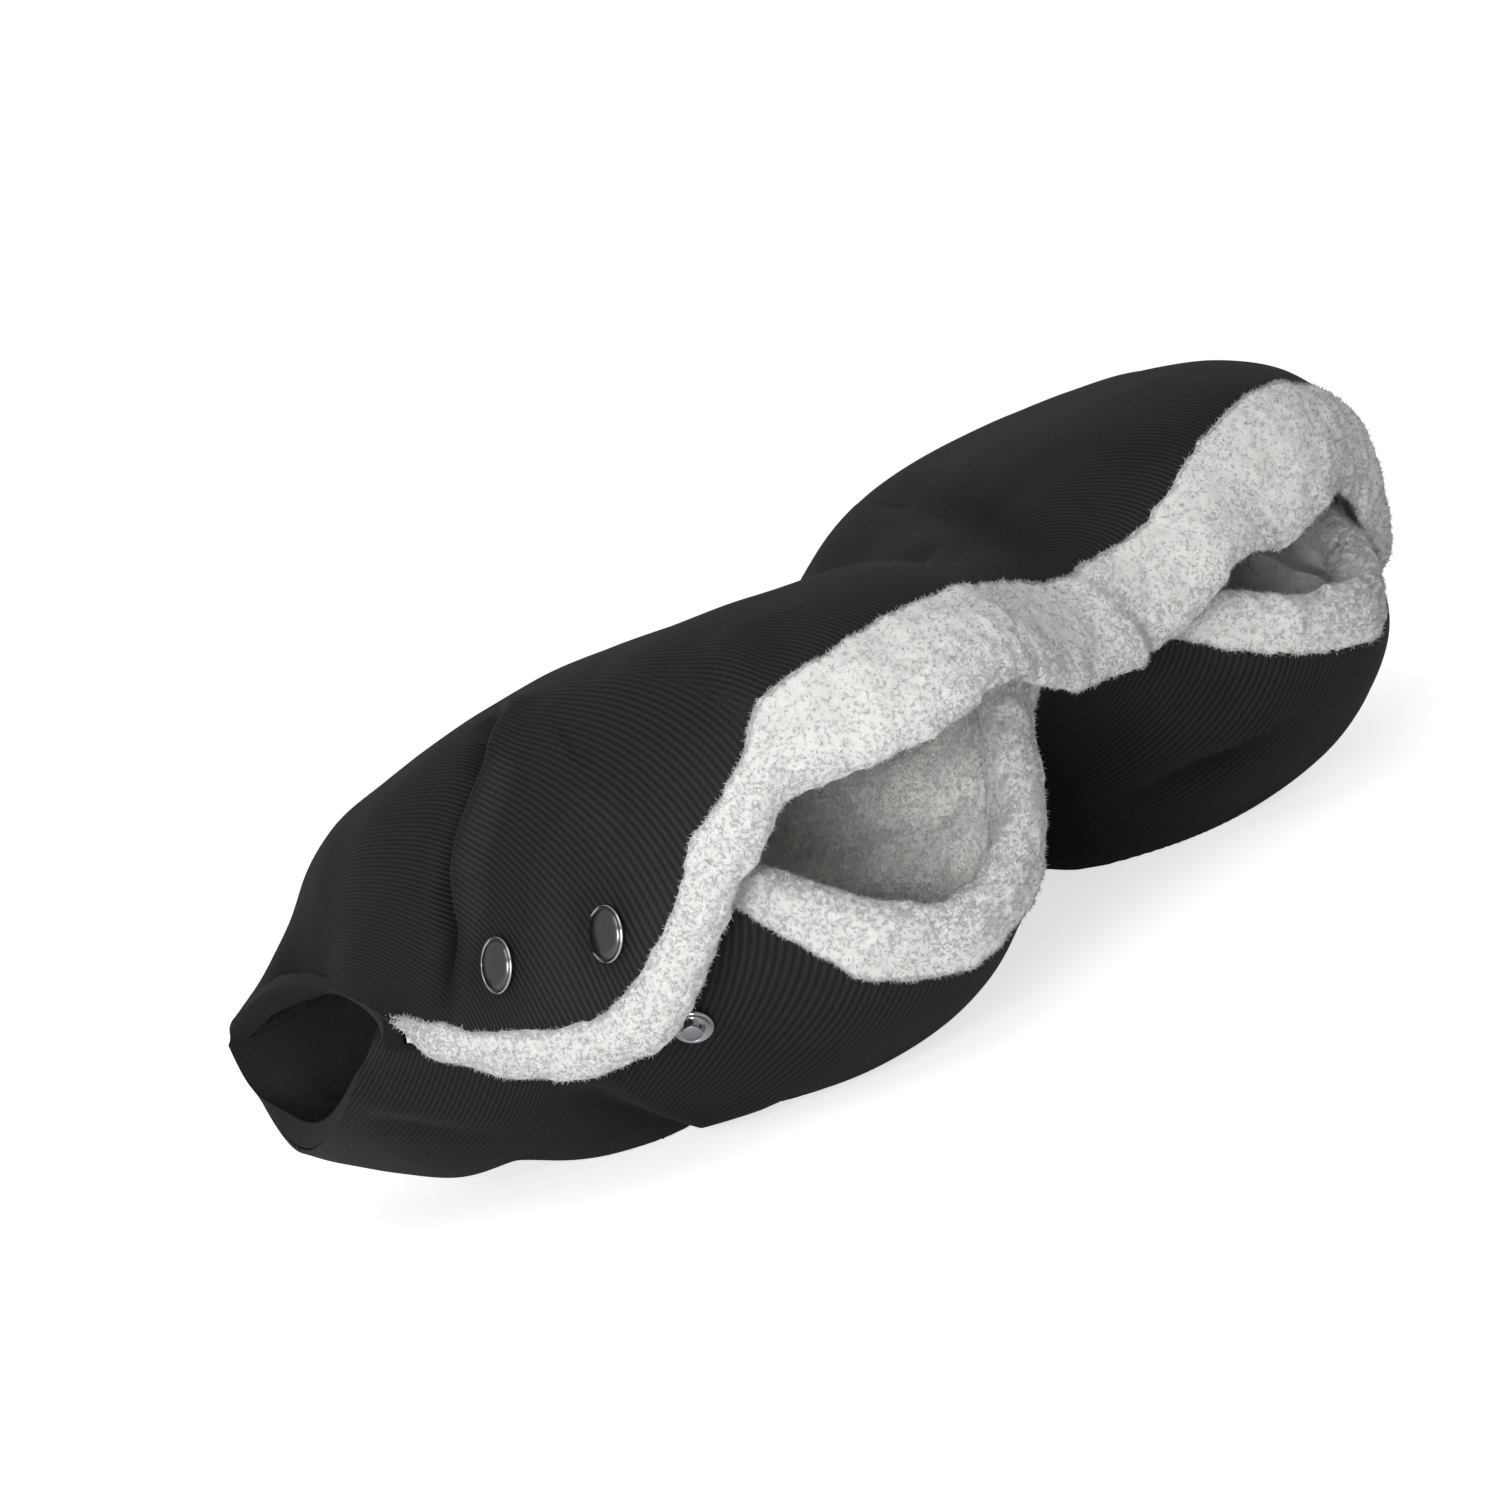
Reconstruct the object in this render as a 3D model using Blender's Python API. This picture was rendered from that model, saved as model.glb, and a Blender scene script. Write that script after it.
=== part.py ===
"""Stroller hand muff: a padded sleeve that wraps the corner-to-corner grip of a push handle.

Frame: +X runs along the handle, -Y faces the person who pushes, +Z is up, and the muff
rests on its lower panel at z = 0. An upper panel and a lower panel meet along a seam on
the +Y side. Each is three layers: woven shell, wadding and fleece lining. The upper
panel's two ends are flaps that fold over the lower panel and close with press studs.
"""
import math

import bmesh
import bpy
import numpy as np
from mathutils import Matrix, Vector
from mathutils.bvhtree import BVHTree

# Overall form, in metres
HALF_LENGTH = 0.188
GRIP_REACH = 0.130
SEAM_REACH = 0.112
HEIGHT = 0.142

# The tables below are drawn from the grip's line; this puts the muff's middle over the
# origin and lets its two bellies flatten against z = 0
MIDDLE_SHIFT = 0.01345
FLOOR_DROP = 0.0098

# Cloth layers
SHELL_THICKNESS = 0.0012
WADDING_THICKNESS = 0.0040
LINING_THICKNESS = 0.0060
CLEARANCE = 0.0003
TUCK_CLEARANCE = 0.0033
PANEL_THICKNESS = SHELL_THICKNESS + WADDING_THICKNESS + LINING_THICKNESS + 2 * CLEARANCE

# The soft layers are pressed thin at the seam and at the sleeve ends' hems
SEAM_PINCH_SHARE = 0.40
SEAM_EASE_SHARE = 0.30
HEM_PINCH_SHARE = 0.45
HEM_EASE_STATIONS = 1.0

# Fleece edge rolls, hems and fastening patches
ROLL_WIDTH = 0.0130
ROLL_BULGE_SHARE = 1.04
ROLL_CLEARANCE = 0.0006
FACING_THICKNESS = 0.0010
PATCH_THICKNESS = 0.0012

# Flap hinge line: a fold along Y over the crest of each sleeve
HINGE_SHARE = 0.775
HINGE_X = HINGE_SHARE * HALF_LENGTH

# Press studs
CAP_RADIUS = 0.0075
CAP_RISE = 0.0024
CAP_RIM = 0.0006
SHANK_RADIUS = 0.0022
SHANK_GAP = 0.0009
SOCKET_RADIUS = 0.0060
SOCKET_DEPTH = 0.0032
SOCKET_MOUTH_RADIUS = 0.0034
SOCKET_MOUTH_DEPTH = 0.0024
STUD_BASE_RADIUS = 0.0058
STUD_BASE_THICKNESS = 0.0010
STUD_HEAD_RADIUS = 0.0026
STUD_NECK_RADIUS = 0.0021
STUD_ENGAGEMENT = 0.0016
STUD_HEAD_SHARES = (0.7, 0.4)
CAP_DOME_TURNS_DEG = (26, 52, 72)
SPARE_STUD_HEIGHT = 0.0036
BACK_RADIUS = 0.0052
BACK_THICKNESS = 0.0010

# Stations run from the middle (0) to the sleeve end (8). A row is shares of HALF_LENGTH,
# of GRIP_REACH or SEAM_REACH, and of HEIGHT.
SEAM_SHARES = [
    (0.000, 0.45, 0.51), (0.117, 0.46, 0.51), (0.277, 0.52, 0.53),
    (0.426, 0.59, 0.54), (0.553, 0.66, 0.54), (0.628, 0.75, 0.55),
    (0.681, 0.84, 0.56), (0.723, 0.92, 0.56), (0.755, 1.00, 0.56),
]
UPPER_EDGE_SHARES = [
    (0.000, -0.89, 0.79), (0.117, -0.92, 0.80), (0.293, -0.98, 0.89),
    (0.479, -1.00, 0.90), (0.638, -0.95, 0.82), (0.777, -0.82, 0.65),
    (0.883, -0.60, 0.45), (0.947, -0.35, 0.45), (1.000, -0.09, 0.56),
]
# The free stretches of the lower edge, round the hand openings
LOWER_EDGE_SHARES = {
    1: (0.128, -0.85, 0.62), 2: (0.293, -0.96, 0.39), 3: (0.470, -0.97, 0.30),
    4: (0.620, -0.88, 0.39), 5: (0.713, -0.71, 0.56),
}
# Where the lower edge is tucked behind the upper panel: the share of the way across that
# panel at which it ends, and the length of its handle along the panel as a share of HEIGHT
TUCK_SHARES = {0: (0.985, 0.19), 6: (0.84, 0.50), 7: (0.82, 0.50), 8: (0.86, 0.28)}
# Two handles shape each section. The first stands straight above or below the seam, at a
# share of HEIGHT; the second has a share of the way across and a share of HEIGHT.
UPPER_SEAM_HANDLE_SHARES = (0.86, 0.90, 0.98, 1.01, 1.01, 0.98, 0.92, 0.82, 0.68)
UPPER_CREST_SHARES = [
    (0.97, 0.93), (0.96, 0.98), (0.90, 1.06), (0.88, 1.10), (0.88, 1.13),
    (0.90, 1.11), (0.92, 1.06), (0.95, 0.89), (0.80, 0.64),
]
LOWER_SEAM_HANDLE_SHARES = (0.06, 0.02, -0.04, -0.09, -0.14, -0.22, -0.22, -0.12, 0.04)
LOWER_BELLY_SHARES = {1: (0.97, 0.34), 2: (0.87, 0.02), 3: (0.88, -0.04), 4: (0.94, 0.00), 5: (1.04, 0.10)}
LAST = len(SEAM_SHARES) - 1
PATH_MIRROR = np.array((-1, 1, 1))

# Where things sit on the panels: station, and share of the way from seam to edge
SNAP_PLACES = {"rear": (6.75, 0.885), "front": (5.84, 0.93)}
SPARE_PLACE = (5.40, 0.79)
ROLL_STATIONS = (1.0, 4.5)
ROLL_LAST_STATION = 7.5
ROLL_TIP_SHARE = 0.35
ROLL_TAPER_STATIONS = 1.5
HOOK_FROM_SHARE = 0.94
LOOP_FROM_SHARE = 0.875
FLAP_FIRST_STATION = 4.0
NORMAL_STEP = 0.02
NORMAL_STRETCH_SHARE = 0.12

# Facet counts
STEPS_ACROSS = 8
STEPS_PER_STATION = 2
ROLL_FACETS = 6
SNAP_FACETS = 16

SHELL_BLACK = (0.018, 0.019, 0.020, 1.0)
FLEECE_WHITE = (0.78, 0.77, 0.74, 1.0)
WADDING_WHITE = (0.86, 0.86, 0.84, 1.0)
NICKEL = (0.66, 0.66, 0.67, 1.0)
SHELL_ROUGHNESS = 0.72
FLEECE_ROUGHNESS = 0.95
NICKEL_ROUGHNESS = 0.22
SIDES = {"near": -1, "far": 1}


def material(name, colour, roughness, metallic=0):
    mat = bpy.data.materials.get(name)
    if mat is None:
        mat = bpy.data.materials.new(name)
        mat.use_nodes = True
        shader = mat.node_tree.nodes["Principled BSDF"]
        shader.inputs["Base Color"].default_value = colour
        shader.inputs["Roughness"].default_value = roughness
        shader.inputs["Metallic"].default_value = metallic
    return mat


def shell_cloth():
    return material("shell_cloth", SHELL_BLACK, SHELL_ROUGHNESS)


def fleece():
    return material("fleece", FLEECE_WHITE, FLEECE_ROUGHNESS)


def wadding():
    return material("wadding", WADDING_WHITE, FLEECE_ROUGHNESS)


def nickel():
    return material("nickel", NICKEL, NICKEL_ROUGHNESS, 1)


def add_object(name, mesh, mat, parent=None):
    obj = bpy.data.objects.new(name, mesh)
    bpy.context.collection.objects.link(obj)
    obj.data.materials.append(mat)
    if parent is not None:
        obj.parent = parent
        obj.matrix_parent_inverse = parent.matrix_basis.inverted()
    return obj


def smooth_row(rows, station):
    """Reads a table of stations as one smooth curve, whose other half is its mirror image."""
    first = int(min(max(math.floor(station), 0), LAST - 1))
    along = station - first
    start, end = rows[first], rows[first + 1]
    before = rows[first - 1] if first > 0 else rows[1] * PATH_MIRROR
    after = rows[first + 2] if first + 2 <= LAST else 2 * end - start
    start_slope = (end - before) / 2
    end_slope = (after - start) / 2
    square, cube = along ** 2, along ** 3
    return ((2 * cube - 3 * square + 1) * start + (cube - 2 * square + along) * start_slope
            + (3 * square - 2 * cube) * end + (cube - square) * end_slope)


def path(shares, reach):
    drawn = np.array(shares, float) * (HALF_LENGTH, reach, HEIGHT)
    return drawn + (0, MIDDLE_SHIFT, -FLOOR_DROP)


def level(share):
    return np.array(share) * HEIGHT - FLOOR_DROP


def ease(share):
    share = min(max(share, 0), 1)
    return share * share * (3 - 2 * share)


def depth_at(depth, station, share):
    """A depth is a pair: a firm part, and a soft part that the seam and hems press thin."""
    firm, soft = depth
    seam = SEAM_PINCH_SHARE + (1 - SEAM_PINCH_SHARE) * ease(share / SEAM_EASE_SHARE)
    inset = (LAST - abs(station)) / HEM_EASE_STATIONS
    hem = HEM_PINCH_SHARE + (1 - HEM_PINCH_SHARE) * ease(inset)
    return firm + soft * seam * hem


def below_panel(depth):
    """A depth counted from the lining's inner face."""
    return (SHELL_THICKNESS + 2 * CLEARANCE + depth, WADDING_THICKNESS + LINING_THICKNESS)


class Panel:
    """One panel's outer face: sections swept from the middle out to both sleeve ends."""

    def __init__(self, outward, edge, seam_heights, handles):
        self.outward = outward
        self.seam = path(SEAM_SHARES, SEAM_REACH)
        self.seam[:, 2] += outward * CLEARANCE / 2
        self.first = np.column_stack([self.seam[:, :2], level(seam_heights)])
        self.last = handles
        self.edge = edge

    def section(self, station):
        rows = (self.seam, self.first, self.last, self.edge)
        points = [smooth_row(row, abs(station)) for row in rows]
        side = np.array((-1 if station < 0 else 1, 1, 1))
        return [point * side for point in points]

    def point(self, station, across):
        seam, first, last, edge = self.section(station)
        back = 1 - across
        spot = (back ** 3 * seam + 3 * back ** 2 * across * first
                + 3 * back * across ** 2 * last + across ** 3 * edge)
        return np.array((spot[0], spot[1], max(spot[2], 0)))

    def way_across(self, station, share):
        """The way to the edge, evened out over a stretch that grows from nothing at the seam."""
        if share == 0:
            return self.section(station)[1] - self.section(station)[0]
        stretch = NORMAL_STRETCH_SHARE * share
        return self.point(station, min(share + stretch, 1)) - self.point(station, share - stretch)

    def frame(self, station, share):
        """A point on the face, its outward normal, and the way to the edge, square to both."""
        before, after = max(station - NORMAL_STEP, -LAST), min(station + NORMAL_STEP, LAST)
        run = self.point(after, share) - self.point(before, share)
        out = np.cross(self.way_across(station, share), run) * self.outward
        edgeward = np.cross(run, out) * self.outward
        return (Vector(self.point(station, share)), Vector(out).normalized(),
                Vector(edgeward).normalized())

    def grid(self, stations, shares, depth):
        """Points that lie at a depth below the face, one row for each station."""
        rows = []
        for station in stations:
            row = []
            for share in shares:
                spot, out, _ = self.frame(station, share)
                row.append(spot - out * depth_at(depth, station, share))
            rows.append(row)
        return np.array(rows)


def handles_between(seam, edge, share, height):
    return np.append(seam[:2] + (edge[:2] - seam[:2]) * share, level(height))


def upper_panel():
    seam = path(SEAM_SHARES, SEAM_REACH)
    edge = path(UPPER_EDGE_SHARES, GRIP_REACH)
    handles = [handles_between(seam[k], edge[k], *UPPER_CREST_SHARES[k]) for k in range(LAST + 1)]
    return Panel(1, edge, UPPER_SEAM_HANDLE_SHARES, np.array(handles))


def lower_panel(upper):
    seam = path(SEAM_SHARES, SEAM_REACH)
    edge, handles = np.zeros_like(seam), np.zeros_like(seam)
    for k, shares in LOWER_EDGE_SHARES.items():
        edge[k] = path(shares, GRIP_REACH)
        handles[k] = handles_between(seam[k], edge[k], *LOWER_BELLY_SHARES[k])
    for k, (share, length) in TUCK_SHARES.items():
        spot, out, edgeward = upper.frame(k, share)
        edge[k] = spot - out * depth_at(below_panel(TUCK_CLEARANCE), k, share)
        handles[k] = edge[k] + np.array(edgeward) * length * HEIGHT
    return Panel(-1, edge, LOWER_SEAM_HANDLE_SHARES, handles)


UPPER = upper_panel()
LOWER = lower_panel(UPPER)


def closed_sheet(name, outer, inner):
    """A closed solid between two grids of points with the same layout."""
    rows, columns = outer.shape[:2]
    mesh = bmesh.new()
    top = [[mesh.verts.new(outer[i, j]) for j in range(columns)] for i in range(rows)]
    under = [[mesh.verts.new(inner[i, j]) for j in range(columns)] for i in range(rows)]
    for i in range(rows - 1):
        for j in range(columns - 1):
            mesh.faces.new((top[i][j], top[i][j + 1], top[i + 1][j + 1], top[i + 1][j]))
            mesh.faces.new((under[i][j], under[i + 1][j], under[i + 1][j + 1], under[i][j + 1]))
    border = [(i, 0) for i in range(rows)] + [(rows - 1, j) for j in range(1, columns)]
    border += [(i, columns - 1) for i in range(rows - 2, -1, -1)]
    border += [(0, j) for j in range(columns - 2, 0, -1)]
    for (i, j), (k, m) in zip(border, border[1:] + border[:1]):
        mesh.faces.new((top[i][j], top[k][m], under[k][m], under[i][j]))
    bmesh.ops.recalc_face_normals(mesh, faces=mesh.faces)
    bmesh.ops.triangulate(mesh, faces=mesh.faces)
    data = bpy.data.meshes.new(name)
    mesh.to_mesh(data)
    mesh.free()
    return data


def layer_mesh(name, panel, stations, shares, top, under):
    """A layer that lies from depth top to depth under below the panel's outer face."""
    return closed_sheet(name, panel.grid(stations, shares, top), panel.grid(stations, shares, under))


def steps(first, last, count):
    return list(np.linspace(first, last, count + 1))


def layers():
    """Name, depth of its outer face, depth of its inner face and material of each layer."""
    wadding_top = SHELL_THICKNESS + CLEARANCE
    lining_top = wadding_top + CLEARANCE
    soft = WADDING_THICKNESS + LINING_THICKNESS
    return [("shell", (0, 0), (SHELL_THICKNESS, 0), shell_cloth()),
            ("wadding", (wadding_top, 0), (wadding_top, WADDING_THICKNESS), wadding()),
            ("lining", (lining_top, WADDING_THICKNESS), (lining_top, soft), fleece())]


def cutter(name, mesh):
    obj = bpy.data.objects.new(name, mesh)
    bpy.context.collection.objects.link(obj)
    obj.hide_render = True
    obj.display_type = "WIRE"
    return obj


def block_cutter(name, low, high):
    mesh = bmesh.new()
    bmesh.ops.create_cube(mesh, size=1)
    size = Vector(high) - Vector(low)
    middle = (Vector(high) + Vector(low)) / 2
    bmesh.ops.transform(mesh, verts=mesh.verts,
                        matrix=Matrix.Translation(middle) @ Matrix.Diagonal((*size, 1)))
    data = bpy.data.meshes.new(name)
    mesh.to_mesh(data)
    mesh.free()
    return cutter(name, data)


def cut(obj, tool):
    modifier = obj.modifiers.new("cut_" + tool.name, "BOOLEAN")
    modifier.operation = "DIFFERENCE"
    modifier.solver = "EXACT"
    modifier.object = tool


def turned_mesh(name, profile):
    """Spins a profile of (radius, height) points, from the axis out and back to the axis."""
    mesh = bmesh.new()
    rings = []
    for radius, height in profile:
        if radius == 0:
            rings.append([mesh.verts.new((0, 0, height))])
            continue
        turn = [2 * math.pi * k / SNAP_FACETS for k in range(SNAP_FACETS)]
        rings.append([mesh.verts.new((radius * math.cos(a), radius * math.sin(a), height))
                      for a in turn])
    for first, second in zip(rings, rings[1:]):
        for k in range(SNAP_FACETS):
            corners = [first[k % len(first)], first[(k + 1) % len(first)],
                       second[(k + 1) % len(second)], second[k % len(second)]]
            mesh.faces.new(list(dict.fromkeys(corners)))
    bmesh.ops.recalc_face_normals(mesh, faces=mesh.faces)
    data = bpy.data.meshes.new(name)
    mesh.to_mesh(data)
    mesh.free()
    return data


def place(obj, spot, axis):
    obj.matrix_world = Matrix.Translation(spot) @ axis.to_track_quat("Z", "Y").to_matrix().to_4x4()


def build_panel(body_name, panel, stations):
    """The three layers of one panel, from seam to edge."""
    shares = steps(0, 1, STEPS_ACROSS)
    return {layer: add_object(f"{body_name}_{layer}",
                              layer_mesh(layer, panel, stations, shares, top, under), mat)
            for layer, top, under, mat in layers()}


def roll_mesh(name, panel, stations):
    """A half-round fleece roll along a panel's edge, flat where it meets the layers."""
    mesh = bmesh.new()
    rings = []
    for station in stations:
        spot, out, edgeward = panel.frame(station, 1)
        depth = depth_at(below_panel(0), station, 1)
        taper = ease((ROLL_LAST_STATION - abs(station)) / ROLL_TAPER_STATIONS)
        width = ROLL_WIDTH * (ROLL_TIP_SHARE + (1 - ROLL_TIP_SHARE) * taper)
        middle = spot - out * depth / 2 + edgeward * ROLL_CLEARANCE
        ring = []
        for k in range(ROLL_FACETS + 1):
            turn = math.pi * k / ROLL_FACETS
            ring.append(mesh.verts.new(middle + out * math.cos(turn) * depth * ROLL_BULGE_SHARE / 2
                                       + edgeward * math.sin(turn) * width))
        rings.append(ring)
    for first, second in zip(rings, rings[1:]):
        for k in range(ROLL_FACETS + 1):
            after = (k + 1) % (ROLL_FACETS + 1)
            mesh.faces.new((first[k], first[after], second[after], second[k]))
    mesh.faces.new(rings[0])
    mesh.faces.new(rings[-1])
    bmesh.ops.recalc_face_normals(mesh, faces=mesh.faces)
    bmesh.ops.triangulate(mesh, faces=mesh.faces)
    data = bpy.data.meshes.new(name)
    mesh.to_mesh(data)
    mesh.free()
    return data


def hinge_height():
    """The crest's height where the flap folds."""
    heights = []
    for station in steps(FLAP_FIRST_STATION, LAST, STEPS_ACROSS * LAST):
        for share in steps(0, 1, STEPS_ACROSS * LAST):
            spot = UPPER.point(station, share)
            if spot[0] >= HINGE_X - PANEL_THICKNESS:
                heights.append(spot[2])
    return max(heights)


def flap_pivot(side):
    pivot = bpy.data.objects.new(f"pivot_{side}", None)
    bpy.context.collection.objects.link(pivot)
    pivot.location = (SIDES[side] * HINGE_X, 0, hinge_height())
    return pivot


def facing_mesh(name, panel, side):
    stations = sorted([SIDES[side] * LAST, SIDES[side] * (LAST - 1 / STEPS_PER_STATION)])
    shares = steps(0, 1, STEPS_ACROSS)[1:]
    return layer_mesh(name, panel, stations, shares, below_panel(CLEARANCE),
                      below_panel(CLEARANCE + FACING_THICKNESS))


def build_muff():
    count = int(2 * LAST * STEPS_PER_STATION)
    everywhere = steps(-LAST, LAST, count)
    far_side = 2 * HALF_LENGTH
    tall = 2 * HEIGHT
    overlap = PANEL_THICKNESS

    lower = build_panel("lower", LOWER, everywhere)
    upper = build_panel("upper", UPPER, everywhere)
    inner = HINGE_X - CLEARANCE / 2
    outer = HINGE_X + CLEARANCE / 2
    low, high = (0, -far_side, -overlap), (far_side, far_side, tall)
    outboard = {
        "near": block_cutter("outboard_near", (-far_side, low[1], low[2]), (-inner, high[1], high[2])),
        "far": block_cutter("outboard_far", (inner, low[1], low[2]), (far_side, high[1], high[2])),
    }
    inboard = {
        "near": block_cutter("inboard_near", (-outer, low[1], low[2]), (far_side, high[1], high[2])),
        "far": block_cutter("inboard_far", (-far_side, low[1], low[2]), (outer, high[1], high[2])),
    }
    roll_span = [station for station in everywhere if abs(station) <= ROLL_LAST_STATION]
    upper_roll = add_object("upper_edge_roll", roll_mesh("roll", UPPER, roll_span), fleece())
    for piece in list(upper.values()) + [upper_roll]:
        for side in SIDES:
            cut(piece, outboard[side])

    for side in SIDES:
        sign = SIDES[side]
        pivot = flap_pivot(side)
        ends = steps(FLAP_FIRST_STATION, LAST, int((LAST - FLAP_FIRST_STATION) * STEPS_PER_STATION))
        stations = sorted(sign * end for end in ends)
        flap = build_panel(f"flap_{side}", UPPER, stations)
        span = [end for end in ends if end <= ROLL_LAST_STATION]
        flap["roll"] = add_object(f"flap_{side}_edge_roll",
                                  roll_mesh("roll", UPPER, sorted(sign * s for s in span)), fleece())
        flap["facing"] = add_object(f"flap_{side}_hem_facing", facing_mesh("facing", UPPER, side),
                                    shell_cloth())
        for piece in flap.values():
            cut(piece, inboard[side])
            piece.parent = pivot
            piece.matrix_parent_inverse = pivot.matrix_basis.inverted()
        add_object(f"lower_{side}_hem_facing", facing_mesh("facing", LOWER, side), shell_cloth())
        span = steps(*ROLL_STATIONS, int((ROLL_STATIONS[1] - ROLL_STATIONS[0]) * STEPS_PER_STATION))
        add_object(f"lower_{side}_edge_roll",
                   roll_mesh("roll", LOWER, sorted(sign * s for s in span)), fleece())
        build_snaps(side, pivot, flap, lower)

    patch_span = [-1 / STEPS_PER_STATION, 0, 1 / STEPS_PER_STATION]
    hook = layer_mesh("patch", LOWER, patch_span, [HOOK_FROM_SHARE, 1],
                      (-CLEARANCE - PATCH_THICKNESS, 0), (-CLEARANCE, 0))
    loop = layer_mesh("patch", UPPER, patch_span, [LOOP_FROM_SHARE, 1],
                      below_panel(CLEARANCE), below_panel(CLEARANCE + PATCH_THICKNESS))
    add_object("centre_hook_patch", hook, shell_cloth())
    add_object("centre_loop_patch", loop, shell_cloth())


def lower_face_tree():
    stations = steps(-LAST, LAST, int(4 * LAST * STEPS_PER_STATION))
    points = LOWER.grid(stations, steps(0, 1, 4 * STEPS_ACROSS), (0, 0))
    rows, columns = points.shape[:2]
    verts = [Vector(p) for p in points.reshape(-1, 3)]
    faces = [(i * columns + j, i * columns + j + 1, (i + 1) * columns + j + 1, (i + 1) * columns + j)
             for i in range(rows - 1) for j in range(columns - 1)]
    return BVHTree.FromPolygons(verts, faces)


def hole_cutter(name, spot, axis, seat_radius, seat_end):
    """A shank's hole through a whole panel, widened from the inside out to the seat's end."""
    hole = SHANK_RADIUS + CLEARANCE
    reach = 2 * PANEL_THICKNESS
    profile = [(0, -reach), (seat_radius, -reach), (seat_radius, seat_end), (hole, seat_end),
               (hole, reach), (0, reach)]
    tool = cutter(name, turned_mesh(name, profile))
    place(tool, spot, axis)
    return tool


def stud_profile(height):
    """Base flange, neck and rounded head, from the base up."""
    base = STUD_BASE_THICKNESS
    head = height + base
    neck_end, widest = (head - STUD_HEAD_RADIUS * share for share in STUD_HEAD_SHARES)
    return [(0, 0), (STUD_BASE_RADIUS, 0), (STUD_BASE_RADIUS, base),
            (STUD_NECK_RADIUS, base), (STUD_NECK_RADIUS, neck_end),
            (STUD_HEAD_RADIUS, widest), (STUD_NECK_RADIUS, head), (0, head)]


def build_stud(side, which, spot, axis, height, lower):
    """A stud on the lower shell and its back on the lining, joined through a hole."""
    stud = add_object(f"{which}_stud_{side}", turned_mesh("stud", stud_profile(height)), nickel())
    place(stud, spot + axis * CLEARANCE, axis)
    reach = PANEL_THICKNESS + CLEARANCE
    hole = hole_cutter(f"hole_{which}_{side}", spot, axis, BACK_RADIUS + CLEARANCE,
                       -PANEL_THICKNESS + BACK_THICKNESS + CLEARANCE)
    for piece in lower.values():
        cut(piece, hole)
    back_profile = [(0, -reach), (BACK_RADIUS, -reach), (BACK_RADIUS, -reach + BACK_THICKNESS),
                    (SHANK_RADIUS, -reach + BACK_THICKNESS), (SHANK_RADIUS, 0), (0, 0)]
    back = add_object(f"{which}_stud_back_{side}", turned_mesh("back", back_profile), nickel())
    place(back, spot, axis)


def build_snaps(side, pivot, flap, lower):
    tree = lower_face_tree()
    sign = SIDES[side]
    for which, (station, share) in SNAP_PLACES.items():
        spot, out, _ = UPPER.frame(sign * station, share)
        socket_face = PANEL_THICKNESS + CLEARANCE
        mouth = spot - out * socket_face
        foot, _, _, reach = tree.find_nearest(mouth)
        axis = (mouth - foot).normalized()
        stud_height = reach + STUD_ENGAGEMENT - STUD_BASE_THICKNESS - CLEARANCE
        build_stud(side, which, foot, axis, stud_height, lower)
        hole = hole_cutter(f"snap_hole_{which}_{side}", spot, out, SOCKET_RADIUS + CLEARANCE,
                           SOCKET_DEPTH + CLEARANCE - socket_face)
        for layer in ("shell", "wadding", "lining"):
            cut(flap[layer], hole)
        back = SOCKET_DEPTH - socket_face
        shank_end = back + SHANK_GAP
        rim = 2 * CLEARANCE
        cap_profile = [(0, shank_end), (SHANK_RADIUS, shank_end), (SHANK_RADIUS, rim),
                       (CAP_RADIUS, rim), (CAP_RADIUS, rim + CAP_RIM)]
        for degrees in CAP_DOME_TURNS_DEG:
            turn = math.radians(degrees)
            cap_profile.append((CAP_RADIUS * math.cos(turn),
                                rim + CAP_RIM + (CAP_RISE - CAP_RIM) * math.sin(turn)))
        cap_profile.append((0, rim + CAP_RISE))
        cap = add_object(f"{which}_cap_{side}", turned_mesh("cap", cap_profile), nickel())
        cavity = SOCKET_MOUTH_DEPTH - socket_face
        socket_profile = [(0, back), (SOCKET_RADIUS, back),
                          (SOCKET_RADIUS, -socket_face), (SOCKET_MOUTH_RADIUS, -socket_face),
                          (SOCKET_MOUTH_RADIUS, cavity), (0, cavity)]
        socket = add_object(f"{which}_socket_{side}", turned_mesh("socket", socket_profile), nickel())
        for piece in (cap, socket):
            place(piece, spot, out)
            piece.parent = pivot
            piece.matrix_parent_inverse = pivot.matrix_basis.inverted()
    spare, out, _ = LOWER.frame(sign * SPARE_PLACE[0], SPARE_PLACE[1])
    build_stud(side, "spare", spare, out, SPARE_STUD_HEIGHT, lower)


def main():
    for obj in list(bpy.data.objects):
        bpy.data.objects.remove(obj, do_unlink=True)
    build_muff()
    bpy.context.view_layer.update()
    for obj in bpy.data.objects:
        if obj.type == "MESH":
            obj.data.shade_smooth()


main()
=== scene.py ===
"""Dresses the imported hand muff: ribbed black shell, fleece edges and linings, press studs."""
import math

import bpy
import numpy as np
from mathutils import Matrix, Vector


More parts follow.
